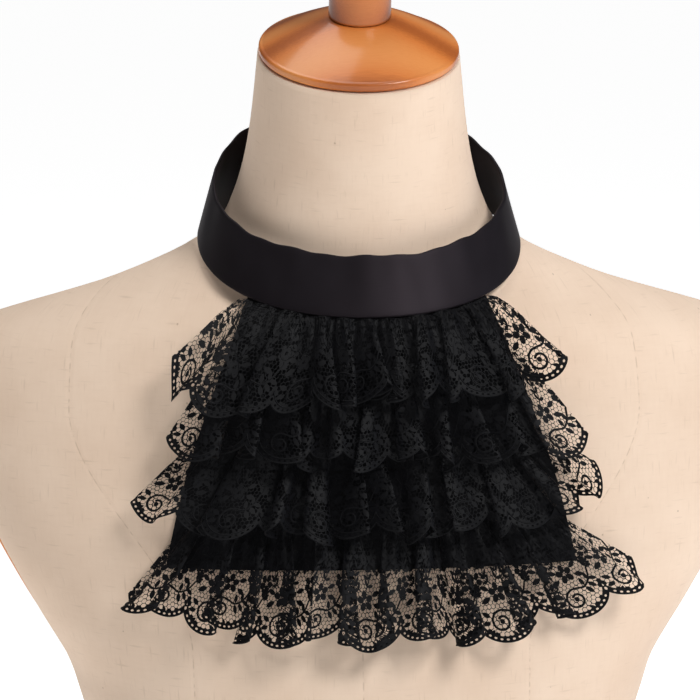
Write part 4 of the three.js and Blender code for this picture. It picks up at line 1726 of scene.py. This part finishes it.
@dataclass(frozen=True)
class Studio:
    """A white sweep with a key light from the upper right, a broad top light and a weak cool window light."""

    aim: tuple[float, float, float] = (-0.004, 0.0, 0.360)
    distance: float = 1.3
    azimuth: float = -4.0
    elevation: float = 10.0
    lens: float = 133.7
    sensor: float = 36.0
    floor_size: float = 120.0
    floor_drop: float = 0.0005
    floor_glow: float = 0.94
    sky: float = 0.08
    lights: tuple[Light, ...] = (
        Light("key", (1.05, -1.2, 1.85), 0.7, 33.5),
        Light("top", (-0.3, 0.25, 2.1), 1.1, 13.0),
        Light("window", (2.3, -0.4, 0.7), 1.0, 3.5, "#B4D2FF"),
    )

    def build(self) -> None:
        """Builds the camera, floor, sky and lights."""
        self.build_camera()
        self.build_floor()
        world = bpy.data.worlds.new("white_studio")
        bpy.context.scene.world = world
        world.use_nodes = True
        background = world.node_tree.nodes["Background"]
        background.inputs["Color"].default_value = linear("#FFFFFF")
        background.inputs["Strength"].default_value = self.sky
        for light in self.lights:
            self.build_light(light)
        bpy.context.scene.view_settings.view_transform = "Standard"

    def build_camera(self) -> None:
        """Places the camera in front of the form, a little above and to the left."""
        aim = Vector(self.aim) + Vector((0, SETBACK, 0))
        around, up = math.radians(self.azimuth), math.radians(self.elevation)
        back = Vector((math.sin(around) * math.cos(up), -math.cos(around) * math.cos(up), math.sin(up)))
        data = bpy.data.cameras.new("camera")
        data.lens = self.lens
        data.sensor_width = self.sensor
        data.dof.use_dof = False
        data.clip_end = 400
        camera = bpy.data.objects.new("camera", data)
        camera.location = aim + back * self.distance
        camera.rotation_euler = back.to_track_quat("Z", "Y").to_euler()
        bpy.context.scene.collection.objects.link(camera)
        bpy.context.scene.camera = camera

    def build_floor(self) -> None:
        """A plain white floor, lit through from below so that it stays white."""
        half = self.floor_size / 2
        corners = [(-half, -half, 0), (half, -half, 0), (half, half, 0), (-half, half, 0)]
        mesh = bpy.data.meshes.new("floor")
        mesh.from_pydata(corners, [], [(0, 1, 2, 3)])
        floor = bpy.data.objects.new("floor", mesh)
        floor.location = (0, 0, -self.floor_drop)
        bpy.context.scene.collection.objects.link(floor)
        material, tree = new_material("white_lit_acrylic_floor")
        shader = add_node(
            tree,
            "BsdfPrincipled",
            {
                "Base Color": linear("#B8B8B8"),
                "Roughness": 1.0,
                "Specular IOR Level": 0.0,
                "Emission Color": linear("#FFFFFF"),
                "Emission Strength": self.floor_glow,
            },
        )
        add_node(tree, "OutputMaterial", {"Surface": shader.outputs[0]})
        mesh.materials.append(material)

    def build_light(self, light: Light) -> None:
        """Adds one square area light that faces the form.

        Args:
            light: its place, size, power and colour.
        """
        data = bpy.data.lights.new(light.name, "AREA")
        data.size = light.size
        data.energy = light.watts
        data.color = linear(light.colour)[:3]
        lamp = bpy.data.objects.new(light.name, data)
        lamp.location = light.place
        away = Vector(light.place) - Vector(self.aim)
        lamp.rotation_euler = away.to_track_quat("Z", "Y").to_euler()
        bpy.context.scene.collection.objects.link(lamp)


def main() -> None:
    """Builds the studio, the dress form and the jabot."""
    logging.basicConfig(level=logging.INFO, format="%(message)s")
    Studio().build()
    finishes = Finishes()
    body = BodyShape()
    DressForm(body, finishes).build()
    Jabot(Chest(body), finishes).build()


if __name__ == "__main__":
    main()
